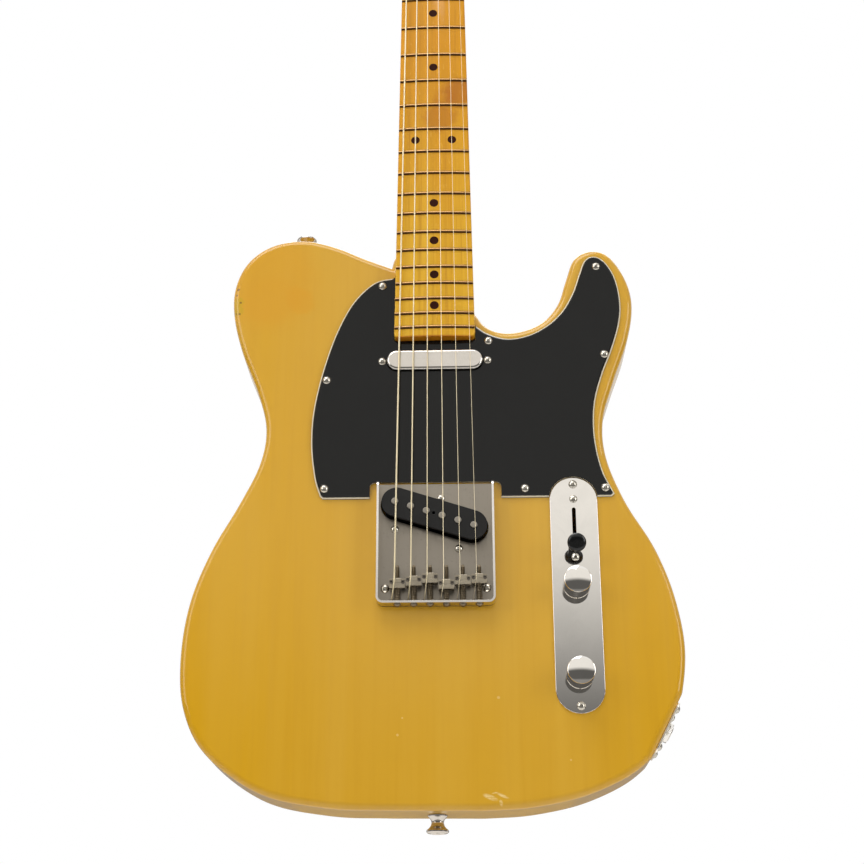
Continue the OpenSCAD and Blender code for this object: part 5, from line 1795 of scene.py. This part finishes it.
@dataclass
class Tuners:
    """Six machines with their posts, turns of string and buttons, and what is screwed to the head."""

    layout: Layout
    case: Point3 = (15.0, 17.6, 9.6)
    case_at: Point = (-6.6, -6.4)
    worm: Point = (7.0, 4.6)
    button_middle: float = 20.6
    button: Point3 = (11.0, 17.0, 6.4)
    post_radius: float = 3.1
    wrap_gap: float = 0.05
    post_rise: float = 11.0
    windings: tuple[int, ...] = (3, 3, 4, 4, 5, 5)
    bush_top: float = 2.9

    def build(self) -> None:
        """Makes every piece of the sub-assembly."""
        frames = [self.frame(i) for i in range(6)]
        housing = join(self.housing(), self.collar())
        deliver(copies(housing, frames), "tuner_cases", CHROME, replaces="tuner_housings")
        posts = [at(*self.layout.post(i), self.layout.head_face) for i in range(6)]
        deliver(copies(self.bushing(), posts), "tuner_bushings_hex", CHROME, replaces="tuner_bushings",
                smooth=30)
        for i, (stand, post) in enumerate(zip(frames, posts)):
            deliver(place(self.button_piece(), stand), f"tuner_button_{i + 1}_cast", CHROME, f"button_{i + 1}",
                    f"tuner_button_{i + 1}", 45)
            deliver(place(self.post(), post), f"tuner_post_{i + 1}_turned", CHROME, f"post_{i + 1}",
                    f"tuner_post_{i + 1}")
            deliver(self.turns(i), f"string_turns_{i + 1}", WOUND_STRING if i < 3 else PLAIN_STRING,
                    f"post_{i + 1}", "", 60)
        self.head_pieces(frames)

    def frame(self, string: int) -> Matrix:
        """Bench of one tuner.

        Args:
            string: its string's number from the bass side.

        Returns:
            Its matrix: X off the head's edge, Y towards the head's tip, Z out of the head's back.
        """
        first, last = self.layout.post(0), self.layout.post(5)
        along = (Vector(last) - Vector(first)).normalized()
        x, y = self.layout.post(string)
        return Matrix(((-along.y, along.x, 0, x), (along.x, along.y, 0, y), (0, 0, -1, self.layout.head_back),
                       (0, 0, 0, 1)))

    def housing(self) -> Piece:
        """Presses the case over the worm, with its screw tab.

        Returns:
            The case, on its tuner's bench.
        """
        wide, long, high = self.case
        case = block(self.case, (self.case_at[0] + wide / 2, self.case_at[1] + long / 2, high / 2), 1.5, 5)
        tab = pierced(bevel(slab(moved(round_rect(8, 8, 3.2, 6), 0, -8.4), 0, 1.4), 0.4, 2),
                      [moved(arc((0, 0), 1.15, 0, 330, 11), 0, -9.8)], -1, 3)
        return join(case, tab)

    def collar(self) -> Piece:
        """Turns the tube through which the button's shaft leaves the case.

        Returns:
            The tube, on its tuner's bench.
        """
        edge = self.case_at[0] + self.case[0]
        wall = [(1.65, -1.0), (3.2, -1.0), (3.2, 2.2), (2.8, 2.6), (1.65, 2.6)]
        return place(ring(wall, 32), at(edge, *self.worm, Axis.TREBLE))

    def bushing(self) -> Piece:
        """Turns the flanged and hexagonal bushing in the head's face.

        Returns:
            The bushing, with the head's face at the bench.
        """
        r = self.post_radius + 0.05
        flange = ring([(r, -9.0), (4.5, -9.0), (4.5, 0.0), (6.5, 0.0), (6.5, 0.55), (6.1, 1.0), (r, 1.0)], 48)
        nut = place(hex_nut(10.0, 1.65, 2 * r), at(0, 0, 0.95))
        return join(flange, nut)

    def post(self) -> Piece:
        """Turns a waisted post with its string hole and worm wheel.

        Returns:
            The post, with the head's face at the bench.
        """
        r, top = self.post_radius, self.post_rise
        low = self.bush_top + 0.1
        waist = [(r - 0.29 * math.sin(math.pi * k / 8), low + 4.2 * k / 8) for k in range(1, 8)]
        gear = [(r, -20.9), (4.45, -20.9), (4.45, -17.3), (r, -17.3)]
        piece = turned([(r, -21.4), *gear, (r, low), *waist, (r, low + 4.2), (r, top - 0.5), (r - 0.5, top)], 40)
        return carve(piece, place(turned([(0.9, -9), (0.9, 9)], 24), at(0, 0, 7.6, Axis.HEAD)),
                     block((1.0, 9, 1.6), (0, 0, top)))

    def turns(self, string: int) -> Piece:
        """Winds one string round its post.

        Args:
            string: its number from the bass side.

        Returns:
            Its turns, in their place.
        """
        x, y = self.layout.post(string)
        gauge = self.layout.gauges[string]
        count = self.windings[string]
        low = self.layout.head_face + self.bush_top + gauge / 2
        path = helix((x, y, low), self.post_radius + self.wrap_gap + gauge / 2, gauge * 1.02, count, Axis.UP, 22)
        return sweep(path, gauge / 2)

    def button_piece(self) -> Piece:
        """Casts an oval button on its collar and shaft, with the worm.

        Returns:
            The button, on its tuner's bench.
        """
        across, tall, thick = self.button
        oval = bevel(slab(stadium(tall, across, 20), -thick / 2, thick / 2), 2.4, 6, 40)
        oval = place(oval, Matrix.Rotation(math.radians(90), 4, "Z"))
        oval = place(oval, at(self.button_middle, *self.worm))
        wall = [(1.6, -5), (1.6, -4), (2.2, -4), (2.2, 4), (1.6, 4), (1.6, 13.4), (2.35, 13.7), (2.7, 14.2),
                (2.7, 15.6), (2.2, 16.2)]
        return join(oval, place(turned(wall, 28), at(0, *self.worm, Axis.TREBLE)))

    def head_pieces(self, frames: Sequence[Matrix]) -> None:
        """Screws the two string trees and the cases down.

        Args:
            frames: the benches of the tuners.
        """
        lay = self.layout
        heads = []
        bars = []
        for x, y in lay.trees():
            bar = block((12, 5, 1.2), (0, 0, 4.4), 0.5)
            stem = turned([(2.0, 0), (2.0, 4.9)], 28)
            bars.append(place(join(bar, stem), at(x, y, lay.head_face)))
            heads.append(at(x, y, lay.head_face + 5.0, spin=35 + 20 * len(bars)))
        deliver(join(*bars), "string_tree_bars", WORN_CHROME, replaces="string_trees")
        heads += [stand @ at(0, -9.8, 1.4, spin=20 * k) for k, stand in enumerate(frames)]
        deliver(copies(cross_screw(4.4, 1.9, 7.4, 0.3), heads), "head_small_screws", SCREW_STEEL,
                replaces="head_screws", smooth=30)


@dataclass
class Strings:
    """Six strings from their ball ends to the posts."""

    layout: Layout
    tree_level: float = 3.65

    def build(self) -> None:
        """Stretches the strings."""
        for name, node, finish, numbers in (("wound_string_set", "wound_strings", WOUND_STRING, (0, 1, 2)),
                                            ("plain_string_set", "plain_strings", PLAIN_STRING, (3, 4, 5))):
            piece = join(*(self.string(i) for i in numbers))
            deliver(piece, name, finish, replaces=node, smooth=60)

    def string(self, number: int) -> Piece:
        """One string with its ball end.

        Args:
            number: its number from the bass side.

        Returns:
            The string.
        """
        lay = self.layout
        gauge = lay.gauges[number]
        hole = lay.string_hole(number)
        x, y = lay.post(number)
        reach = Tuners.post_radius + Tuners.wrap_gap + gauge / 2
        stop = math.sqrt((reach + gauge + 0.25) ** 2 - reach**2)
        level = lay.head_face + Tuners.bush_top + gauge * (0.5 + 1.05 * (Tuners.windings[number] - 1)) + 0.4
        path = [(*hole, lay.back + 5), (*hole, lay.face + 1.8), lay.crest(number), lay.at_nut(number)]
        if number >= 2:
            tree = lay.trees()[1 - (number - 2) // 2]
            path.append((lay.string_x(number, tree[1]), tree[1], lay.head_face + self.tree_level - gauge / 2))
        path.append((x + reach, y - stop, level))
        ball = ring([(0.7, -1.4), (1.7, -1.4), (2.0, -1.1), (2.0, 1.1), (1.7, 1.4), (0.7, 1.4)], 28)
        ball = place(ball, at(*hole, lay.back + 4.6, Axis.TREBLE))
        return join(sweep([Vector(p) for p in path], gauge / 2), ball)


# --- bridge


@dataclass
class Bridge:
    """The pressed plate with six bent saddles."""

    layout: Layout
    saddle_width: float = 10.3
    hump: float = 5.3
    offset: float = 1.7
    reach: float = 3.8
    back: float = -4.4
    screw_level: float = 5.4
    wall_corner: float = 3.5
    screw_reach: float = 9.2
    gap: float = 0.35

    @property
    def sheet(self) -> float:
        """Thickness of the plate's floor."""
        return self.layout.bridge_sheet

    def build(self) -> None:
        """Makes every piece of the sub-assembly."""
        self.plate()
        lay = self.layout
        wall = bench_box("bridge_plate")[0].y
        saddles, sockets, threads, coils = [], [], [], []
        for i in range(6):
            crest = lay.crest(i)
            top = crest[2] - lay.gauges[i] / 2 - 0.03
            x = crest[0] + self.offset
            saddles.append(place(self.saddle(top), at(x, crest[1], 0)))
            for side in (-1, 1):
                socket = self.socket(top - 1.0 - lay.face - self.sheet)
                sockets.append(place(socket, at(x + side * self.reach, crest[1] - 1.2, lay.face + self.sheet)))
            level = lay.face + self.screw_level
            threads.append(place(self.thread(lay.bridge_y + self.screw_reach - wall), at(x, wall, level, Axis.HEAD)))
            span = crest[1] + self.back - wall - self.sheet - 2 * self.gap
            coils.append(self.coil(x, wall + self.sheet + self.gap, level, span))
        for parts, name, finish, node, smooth in (
                (saddles, "saddles_bent", SADDLE_STEEL, "saddles", 30),
                (sockets, "saddle_socket_screws", DARK_STEEL, "saddle_height_screws", 30),
                (threads, "intonation_threads", THREAD_STEEL, "intonation_screws", 30),
                (coils, "intonation_coils", THREAD_STEEL, "intonation_springs", 60)):
            deliver(join(*parts), name, finish, replaces=node, smooth=smooth)
        places = [at(x, y, lay.face + self.sheet, spin=20 + 30 * k)
                  for k, (x, y) in enumerate(spots("bridge_screws", lay.face - 4))]
        deliver(copies(cross_screw(6.0, 3.5, 25, 0.26), places), "bridge_wood_screws", SCREW_STEEL,
                replaces="bridge_screws", smooth=30)

    def plate(self) -> None:
        """Presses the plate: a brushed floor inside three bright walls."""
        lay = self.layout
        low, high = bench_box("bridge_plate")
        outline, *holes = sections("bridge_plate", lay.face + self.sheet / 2)
        floor = pierced(slab(outline, lay.face, lay.face + self.sheet), holes, lay.face - 1, lay.face + 3)
        bevel(floor, 0.12, 2, 40)
        deliver(floor, "bridge_floor", BRUSHED_FLOOR, smooth=30)
        rim = sections("bridge_plate", high.z - 1.0)[0]
        walls = slab(rim, lay.face + self.sheet * 0.5, high.z)
        edit(walls)
        bpy.ops.mesh.select_mode(type="EDGE")
        bpy.ops.mesh.select_all(action="DESELECT")
        mesh = bmesh.from_edit_mesh(walls.data)
        for edge in mesh.edges:
            edge.select_set(all(v.co.y > high.y - 0.1 and v.co.z > high.z - 0.1 for v in edge.verts))
        bmesh.update_edit_mesh(walls.data)
        bpy.ops.mesh.bevel(offset=self.wall_corner, segments=6, profile=0.5)
        bpy.ops.object.mode_set(mode="OBJECT")
        holes = [place(turned([(1.6, -1), (1.6, 3)], 24),
                       at(lay.bridge_x(i) + self.offset, low.y - 1, lay.face + self.screw_level, Axis.HEAD))
                 for i in range(6)]
        carve(walls, *holes)
        bevel(walls, 0.42, 4, 40)
        deliver(walls, "bridge_walls", CHROME, replaces="bridge_plate", smooth=40)

    def saddle(self, top: float) -> Piece:
        """A saddle bent from sheet, with its raised middle.

        Args:
            top: height of the string's seat.

        Returns:
            The saddle, with the string's bend at the bench's origin.
        """
        foot = self.layout.face + self.sheet + 2.1
        back = self.back
        bent = [(back, foot), (back + 1.7, foot), (back + 1.7, top - 5.9), (0.0, top - 3.3), (0.9, top - 3.3),
                (1.0, top - 3.1), (1.0, top - 1.8), (0.75, top - 1.45), (-0.2, top - 1.4),
                (back + 0.35, top - 4.85), (back, top - 5.3)]
        raised = [(-1.5, top - 2.6), (1.0, top - 2.6), (1.0, top - 0.5), (0.8, top - 0.12), (0.6, top - 0.02),
                  (0.45, top - 0.02), (0.2, top - 0.2), (-1.5, top - 1.95)]
        upright = Matrix(((0, 0, 1, 0), (1, 0, 0, 0), (0, 1, 0, 0), (0, 0, 0, 1)))
        half = self.saddle_width / 2
        piece = place(bevel(slab(bent, -half, half), 0.16, 2, 60), upright)
        seat = place(bevel(slab(raised, -self.hump / 2, self.hump / 2), 0.14, 2, 60), upright)
        piece = carve(piece, seat, how="UNION")
        level = self.layout.face + self.screw_level
        tools = [place(turned([(1.15, -9), (1.15, 1)], 20), at(s * self.reach, -1.2, top)) for s in (-1, 1)]
        tools.append(place(turned([(1.45, -2), (1.45, 4)], 24), at(0, back, level, Axis.HEAD)))
        return carve(piece, *tools)

    @staticmethod
    def socket(height: float) -> Piece:
        """Turns a headless screw with a socket.

        Args:
            height: its height.

        Returns:
            The screw, standing on the bench.
        """
        r = 1.1
        grooves = []
        z = 0.5
        while z < height - 0.7:
            grooves += [(r, z), (r - 0.16, z + 0.2)]
            z += 0.4
        piece = turned([(0.6, 0.0), *grooves, (r, height - 0.45), (r - 0.15, height)], 20)
        return carve(piece, slab(arc((0, 0), 0.7, 0, 300, 5), height - 1.1, height + 1))

    def thread(self, length: float) -> Piece:
        """Turns an intonation screw, with its head behind the wall and its thread ahead of it.

        Args:
            length: length of the thread.

        Returns:
            The screw, upright, with the wall at the bench.
        """
        r = 1.4
        turns = [(r - (0.22 if k % 2 else 0.0), 0.3 + 0.3 * k) for k in range(int((length - 1.2) / 0.3))]
        rod = turned([(0.5, -0.1), *turns, (r - 0.3, length - 0.3), (r - 0.6, length)], 20)
        head = place(cross_screw(5.2, 2.8, 2.0, 0.36), Matrix.Rotation(math.radians(180), 4, "X"))
        return join(rod, head)

    @staticmethod
    def coil(x: float, y: float, z: float, span: float) -> Piece:
        """Winds the spring between the wall and a saddle.

        Args:
            x: place of its foot across.
            y: place of its foot along.
            z: height of its axis.
            span: its length.

        Returns:
            The spring, in its place.
        """
        turns = max(3.0, round(span / 1.15))
        path = helix((x, y, z), 1.8, span / turns, turns, Axis.HEAD, 14)
        return sweep(path, 0.3, 8)


# --- pickups


@dataclass
class Pickups:
    """The slanted bridge pickup, the covered neck pickup and the screws that carry them."""

    layout: Layout
    flat: float = 2.2

    def build(self) -> None:
        """Makes every piece of the sub-assembly."""
        self.bridge_pickup()
        self.neck_pickup()
        self.screws()
        dress(BLACK_CORD, "bridge_pickup_coil")
        dress(COIL_WIRE, "neck_pickup_coil")
        dress(BARE_BRASS, "pickup_base")
        dress(DARK_STEEL, "pickup_springs")

    def bridge_pickup(self) -> None:
        """Stamps both fibre plates and sets six magnets."""
        low, high = bench_box("bridge_pickup_flatwork")
        plates = []
        for start in (high.z - self.flat, low.z):
            outline, *holes = sections("bridge_pickup_flatwork", start + self.flat / 2)
            plate = pierced(slab(refined(outline, 2), start, start + self.flat), holes, start - 1, start + 4)
            plates.append(bevel(plate, 0.3, 2, 45))
        deliver(join(*plates), "bridge_pickup_plates", BLACK_FIBRE, replaces="bridge_pickup_flatwork",
                smooth=30)
        low, high = bench_box("bridge_pickup_poles")
        magnet = turned([(2.2, low.z), (2.4, low.z + 0.2), (2.4, high.z - 0.45), (2.28, high.z - 0.12),
                         (1.9, high.z)], 40)
        rods = copies(magnet, [at(*spot, 0) for spot in spots("bridge_pickup_poles", high.z - 0.3)])
        deliver(rods, "bridge_pickup_magnets", POLE_STEEL, replaces="bridge_pickup_poles")

    def neck_pickup(self) -> None:
        """Draws the cover, with a round shoulder all along its top."""
        low, high = bench_box("neck_pickup_cover")
        outline = sections("neck_pickup_cover", high.z - 1.5)[0]
        cover = slab(outline, low.z, high.z)
        bevel(cover, 2.0, 7, 50)
        hollow = slab([(x * 0.985, (y - low.y - (high.y - low.y) / 2) * 0.92 + (low.y + high.y) / 2)
                       for x, y in outline], low.z - 3, high.z - 1.0)
        carve(cover, hollow)
        deliver(cover, "neck_pickup_shell", BRUSHED_COVER, replaces="neck_pickup_cover", smooth=50)

    def screws(self) -> None:
        """Sets the machine screws of the pickups and the switch."""
        lay = self.layout
        places = [at(x, y, lay.seat(x, y), spin=15 + 37 * k)
                  for k, (x, y) in enumerate(spots("machine_screws", lay.face - 1.0))]
        deliver(copies(cross_screw(5.4, 2.6, 12, 0.26), places), "mounting_screws", SCREW_STEEL,
                replaces="machine_screws", smooth=30)


# --- controls


@dataclass
class Controls:
    """The plate with two knobs and the three-way switch."""

    layout: Layout
    washer: float = 0.6
    nut: float = 2.2
    across: float = 12.7
    thread: float = 9.4
    pivot: float = 22.2
    tilt: float = 21.0
    tip_from: float = 31.8
    dome: float = 26.0

    def build(self) -> None:
        """Makes every piece of the sub-assembly."""
        low, high = bench_box("control_plate")
        outline, *holes = sections("control_plate", (low.z + high.z) / 2)
        plate = bevel(slab(refined(outline, 2), low.z, high.z), 0.4, 3, 40)
        pierced(plate, [refined(hole, 2) for hole in holes], low.z - 1, high.z + 1)
        deliver(plate, "control_plate_polished", CHROME, replaces="control_plate", smooth=30)
        self.nuts()
        for which, body in (("volume_knob", "volume"), ("tone_knob", "tone")):
            self.knob(which, body)
        self.tip()
        dress(BARE_BRASS, "volume_shaft", "tone_shaft", "switch_frame")
        dress(DARK_STEEL, "pot_housings", "switch_lever")
        dress(CLOTH_WIRE, "wiring")

    def nuts(self) -> None:
        """Puts a washer and a nut on both controls and on the jack."""
        x, top = middle("control_plate")[0], bench_box("control_plate")[1].z
        nut = place(hex_nut(self.across, self.nut, self.thread + 0.1), at(0, 0, self.washer))
        wall = [(self.thread / 2 + 0.05, 0), (7.2, 0), (7.2, 0.4), (7.0, self.washer),
                (self.thread / 2 + 0.05, self.washer)]
        pattern = join(nut, ring(wall, 40))
        stands = [at(x, middle(name)[1], top, spin=12) for name in ("volume_knob", "tone_knob")]
        stands.append(JACK.matrix() @ at(0, 0, JACK.sheet, spin=8))
        deliver(copies(pattern, stands), "control_nuts", CHROME, replaces="hex_nuts", smooth=30)

    def knob(self, node: str, body: str) -> None:
        """Turns a domed knob with its set screw.

        Args:
            node: the CAD knob.
            body: the CAD body that turns.
        """
        low, high = bench_box(node)
        r, tall = (high.y - low.y) / 2, high.z - low.z
        crown = self.dome
        dome = [(crown * math.sin(a), tall - crown + crown * math.cos(a)) for a in
                (math.asin(share * r / crown) for share in (0.94, 0.86, 0.74, 0.6, 0.45, 0.3, 0.15, 0.05))]
        shoulder = dome[0][1]
        edge = [(r, shoulder - 0.75), (r * 0.995, shoulder - 0.45), (r * 0.975, shoulder - 0.15)]
        wall = [(3.1, tall - 5), (3.1, 4.0), (8.0, 4.0), (8.0, 0.0), (r - 0.35, 0.0), (r, 0.35)]
        piece = turned([*wall, *edge, *dome], 72)
        hole = place(turned([(1.5, 0), (1.5, r + 3)], 24), at(0, 0, 7, Axis.TREBLE))
        carve(piece, hole)
        screw = place(turned([(0.5, 3.1), (1.45, 3.1), (1.45, 7.4), (1.2, 7.6)], 20), at(0, 0, 7, Axis.TREBLE))
        stand = at(*middle(node)[:2], low.z)
        deliver(place(piece, stand), f"{node}_domed", CHROME, body, node, 32)
        deliver(place(screw, stand), f"{node}_set_screw", DARK_STEEL, body, "")

    def tip(self) -> None:
        """Turns the switch's black tip on its tilted lever."""
        tilt = math.radians(self.tilt)
        r = 4.0
        profile = [(r - 0.2, 0.0), (r, 0.2), (r, 8.3), (r + 0.4, 8.8), (5.6, 9.1), (6.1, 9.5), (6.2, 10.2),
                   (6.2, 11.3), (5.9, 11.9), (5.0, 12.5), (3.6, 13.0), (1.8, 13.32)]
        pivot = at(middle("switch_tip")[0], middle("switch_frame")[1], self.layout.face - self.pivot)
        stand = pivot @ Matrix.Rotation(tilt, 4, "X") @ at(0, 0, self.tip_from)
        deliver(place(turned(profile, 56), stand), "switch_tip_domed", BLACK_PLASTIC, "switch", "switch_tip",
                40)


# --- the picture


@dataclass
class Studio:
    """Camera, lamps, floor, white surroundings and what metal mirrors."""

    lens: float = 64.98
    shift: Point = (0.0497, 0.0)
    stand: Point3 = (0.0209, -1.0209, -0.1383)
    yaw: float = 3.02
    pitch: float = 21.5
    roll: float = -0.41
    floor_level: float = -0.42
    pale: Point3 = (0.86, 0.86, 0.85)
    fade: Point = (1.2, 3.2)
    level: float = 0.78

    def build(self) -> None:
        """Sets everything up."""
        self.camera()
        self.lamps()
        self.world()
        self.floor()
        self.cards()

    def camera(self) -> None:
        """Stands the camera in front of the body, looking up at it."""
        data = bpy.data.cameras.new("view")
        data.lens = self.lens
        data.sensor_width = 36.0
        data.sensor_fit = "HORIZONTAL"
        data.shift_x, data.shift_y = self.shift
        data.clip_start, data.clip_end = 0.01, 60.0
        rest = Matrix(((1, 0, 0), (0, 0, -1), (0, 1, 0))).to_4x4()
        aim = (Matrix.Rotation(math.radians(self.yaw), 4, "Z") @ Matrix.Rotation(math.radians(self.pitch), 4, "X")
               @ Matrix.Rotation(math.radians(self.roll), 4, "Y"))
        stand = bpy.data.objects.new("view", data)
        stand.matrix_world = Matrix.Translation(self.stand) @ aim @ rest
        bpy.context.collection.objects.link(stand)
        bpy.context.scene.camera = stand

    def lamp(self, name: str, spot: Point3, target: Point3, size: Point, watts: float) -> None:
        """Hangs a soft lamp.

        Args:
            name: its name.
            spot: where it hangs.
            target: what it faces.
            size: its width and height.
            watts: its power.
        """
        data = bpy.data.lights.new(name, "AREA")
        data.shape = "RECTANGLE"
        data.size, data.size_y = size
        data.energy = watts * self.level
        lamp = bpy.data.objects.new(name, data)
        lamp.location = spot
        lamp.rotation_euler = (Vector(target) - Vector(spot)).to_track_quat("-Z", "Y").to_euler()
        bpy.context.collection.objects.link(lamp)

    def lamps(self) -> None:
        """A broad lamp overhead, one from each side and a weak one behind."""
        self.lamp("overhead", (-0.5, -1.1, 2.3), (0, 0, 0.35), (1.8, 1.2), 38)
        self.lamp("left", (-1.9, -1.4, 0.9), (0, 0, 0.3), (1.2, 1.6), 20)
        self.lamp("right", (2.0, -1.2, 0.6), (0, 0, 0.3), (0.8, 1.6), 19)
        self.lamp("behind", (0.3, 1.0, 1.9), (0, 0, 0.4), (1.6, 0.6), 12)

    def plain(self) -> bpy.types.Material:
        """A pale material that keeps its shadows near the guitar and fades to the white of the surroundings.

        Returns:
            The material.
        """
        graph = Graph("room_white")
        rays = graph.node("ShaderNodeLightPath")
        seen = graph.math("MAXIMUM", rays.outputs["Is Camera Ray"], rays.outputs["Is Glossy Ray"])
        away = graph.node("ShaderNodeVectorMath", operation="LENGTH")
        graph.wire(graph.place, away.inputs[0])
        far = graph.ramp(away.outputs["Value"], *self.fade)
        graph.set(Base_Color=graph.mix(far, (*self.pale, 1.0), (0.0, 0.0, 0.0, 1.0)), Roughness=0.9)
        glow = graph.math("ADD", graph.math("MULTIPLY", far, 0.70), 0.30)
        graph.set(Emission_Color=(1.0, 0.99, 0.97, 1.0), Emission_Strength=graph.math("MULTIPLY", seen, glow))
        graph.set(Specular_IOR_Level=0.0)
        return graph.material

    def world(self) -> None:
        """Even light from all round, with a white background for the camera and in reflections."""
        world = bpy.data.worlds.new("room")
        bpy.context.scene.world = world
        world.use_nodes = True
        tree = world.node_tree
        tree.nodes.clear()
        output = tree.nodes.new("ShaderNodeOutputWorld")
        glow = tree.nodes.new("ShaderNodeBackground")
        seen = tree.nodes.new("ShaderNodeBackground")
        mix = tree.nodes.new("ShaderNodeMixShader")
        rays = tree.nodes.new("ShaderNodeLightPath")
        glow.inputs["Color"].default_value = (1.0, 0.985, 0.96, 1.0)
        glow.inputs["Strength"].default_value = 0.55 * self.level
        seen.inputs["Color"].default_value = (1.0, 1.0, 1.0, 1.0)
        seen.inputs["Strength"].default_value = 1.0
        white = rays.outputs["Is Camera Ray"]
        for kind in ("Is Transmission Ray", "Is Glossy Ray"):
            either = tree.nodes.new("ShaderNodeMath")
            either.operation = "MAXIMUM"
            tree.links.new(white, either.inputs[0])
            tree.links.new(rays.outputs[kind], either.inputs[1])
            white = either.outputs[0]
        tree.links.new(white, mix.inputs[0])
        tree.links.new(glow.outputs[0], mix.inputs[1])
        tree.links.new(seen.outputs[0], mix.inputs[2])
        tree.links.new(mix.outputs[0], output.inputs["Surface"])

    def cards(self) -> None:
        """Stands dim cards round the guitar that only reflections see, so that metal and gloss keep their edges."""
        white, wooden = (1.0, 0.98, 0.94, 1.0), (1.0, 0.80, 0.54, 1.0)
        for name, size, stand, turn, low, high, edges, tint in (
                ("front_card", (7.0, 3.4), (0.0, -2.6, 1.28), (90, 0, 0), 0.12, 0.97, (-0.244, -0.053), white),
                ("low_card", (7.0, 2.2), (0.0, -1.5, -0.41), (0, 0, 0), 0.12, 0.30, (-0.3, 0.02), white),
                ("back_card", (7.0, 0.3), (0.0, 1.25, -0.26), (90, 0, 0), 0.34, 0.40, (-0.3, 0.4), wooden),
                ("rear_card", (7.0, 3.4), (0.0, 2.9, 1.28), (90, 0, 0), 0.30, 0.80, (-0.35, 0.15), white),
                ("left_card", (4.4, 3.4), (-2.6, -0.9, 1.28), (90, 0, 90), 0.22, 0.75, (-0.3, 0.02), white),
                ("right_card", (4.4, 3.4), (2.6, -0.9, 1.28), (90, 0, 90), 0.18, 0.65, (-0.3, 0.02), white)):
            bpy.ops.mesh.primitive_plane_add(size=1.0, location=stand, rotation=[math.radians(a) for a in turn])
            card = bpy.context.object
            card.name = name
            card.scale = (*size, 1.0)
            graph = Graph(name)
            axes = graph.axes()
            glow = graph.ramp(axes["Y"], *edges, low, high)
            graph.set(Base_Color=(0.0, 0.0, 0.0, 1.0), Specular_IOR_Level=0.0)
            graph.set(Emission_Color=tint, Emission_Strength=glow)
            card.data.materials.append(graph.material)
            card.visible_camera = card.visible_diffuse = card.visible_shadow = False
            card.visible_transmission = card.visible_volume_scatter = False

    def floor(self) -> None:
        """Lays the floor below the guitar."""
        bpy.ops.mesh.primitive_plane_add(size=14.0, location=(0, 0, self.floor_level))
        floor = bpy.context.object
        floor.name = "floor"
        floor.data.materials.append(self.plain())


def main() -> None:
    """Builds the guitar and the picture round it."""
    logging.basicConfig(level=logging.INFO, format="%(message)s")
    bpy.context.scene.view_settings.view_transform = "Standard"
    layout = Layout.measured()
    BodyBlank(layout).build()
    JACK.build()
    Neck(layout).build()
    Tuners(layout).build()
    Strings(layout).build()
    Bridge(layout).build()
    Pickups(layout).build()
    Controls(layout).build()
    Studio().build()


if __name__ == "__main__":
    main()
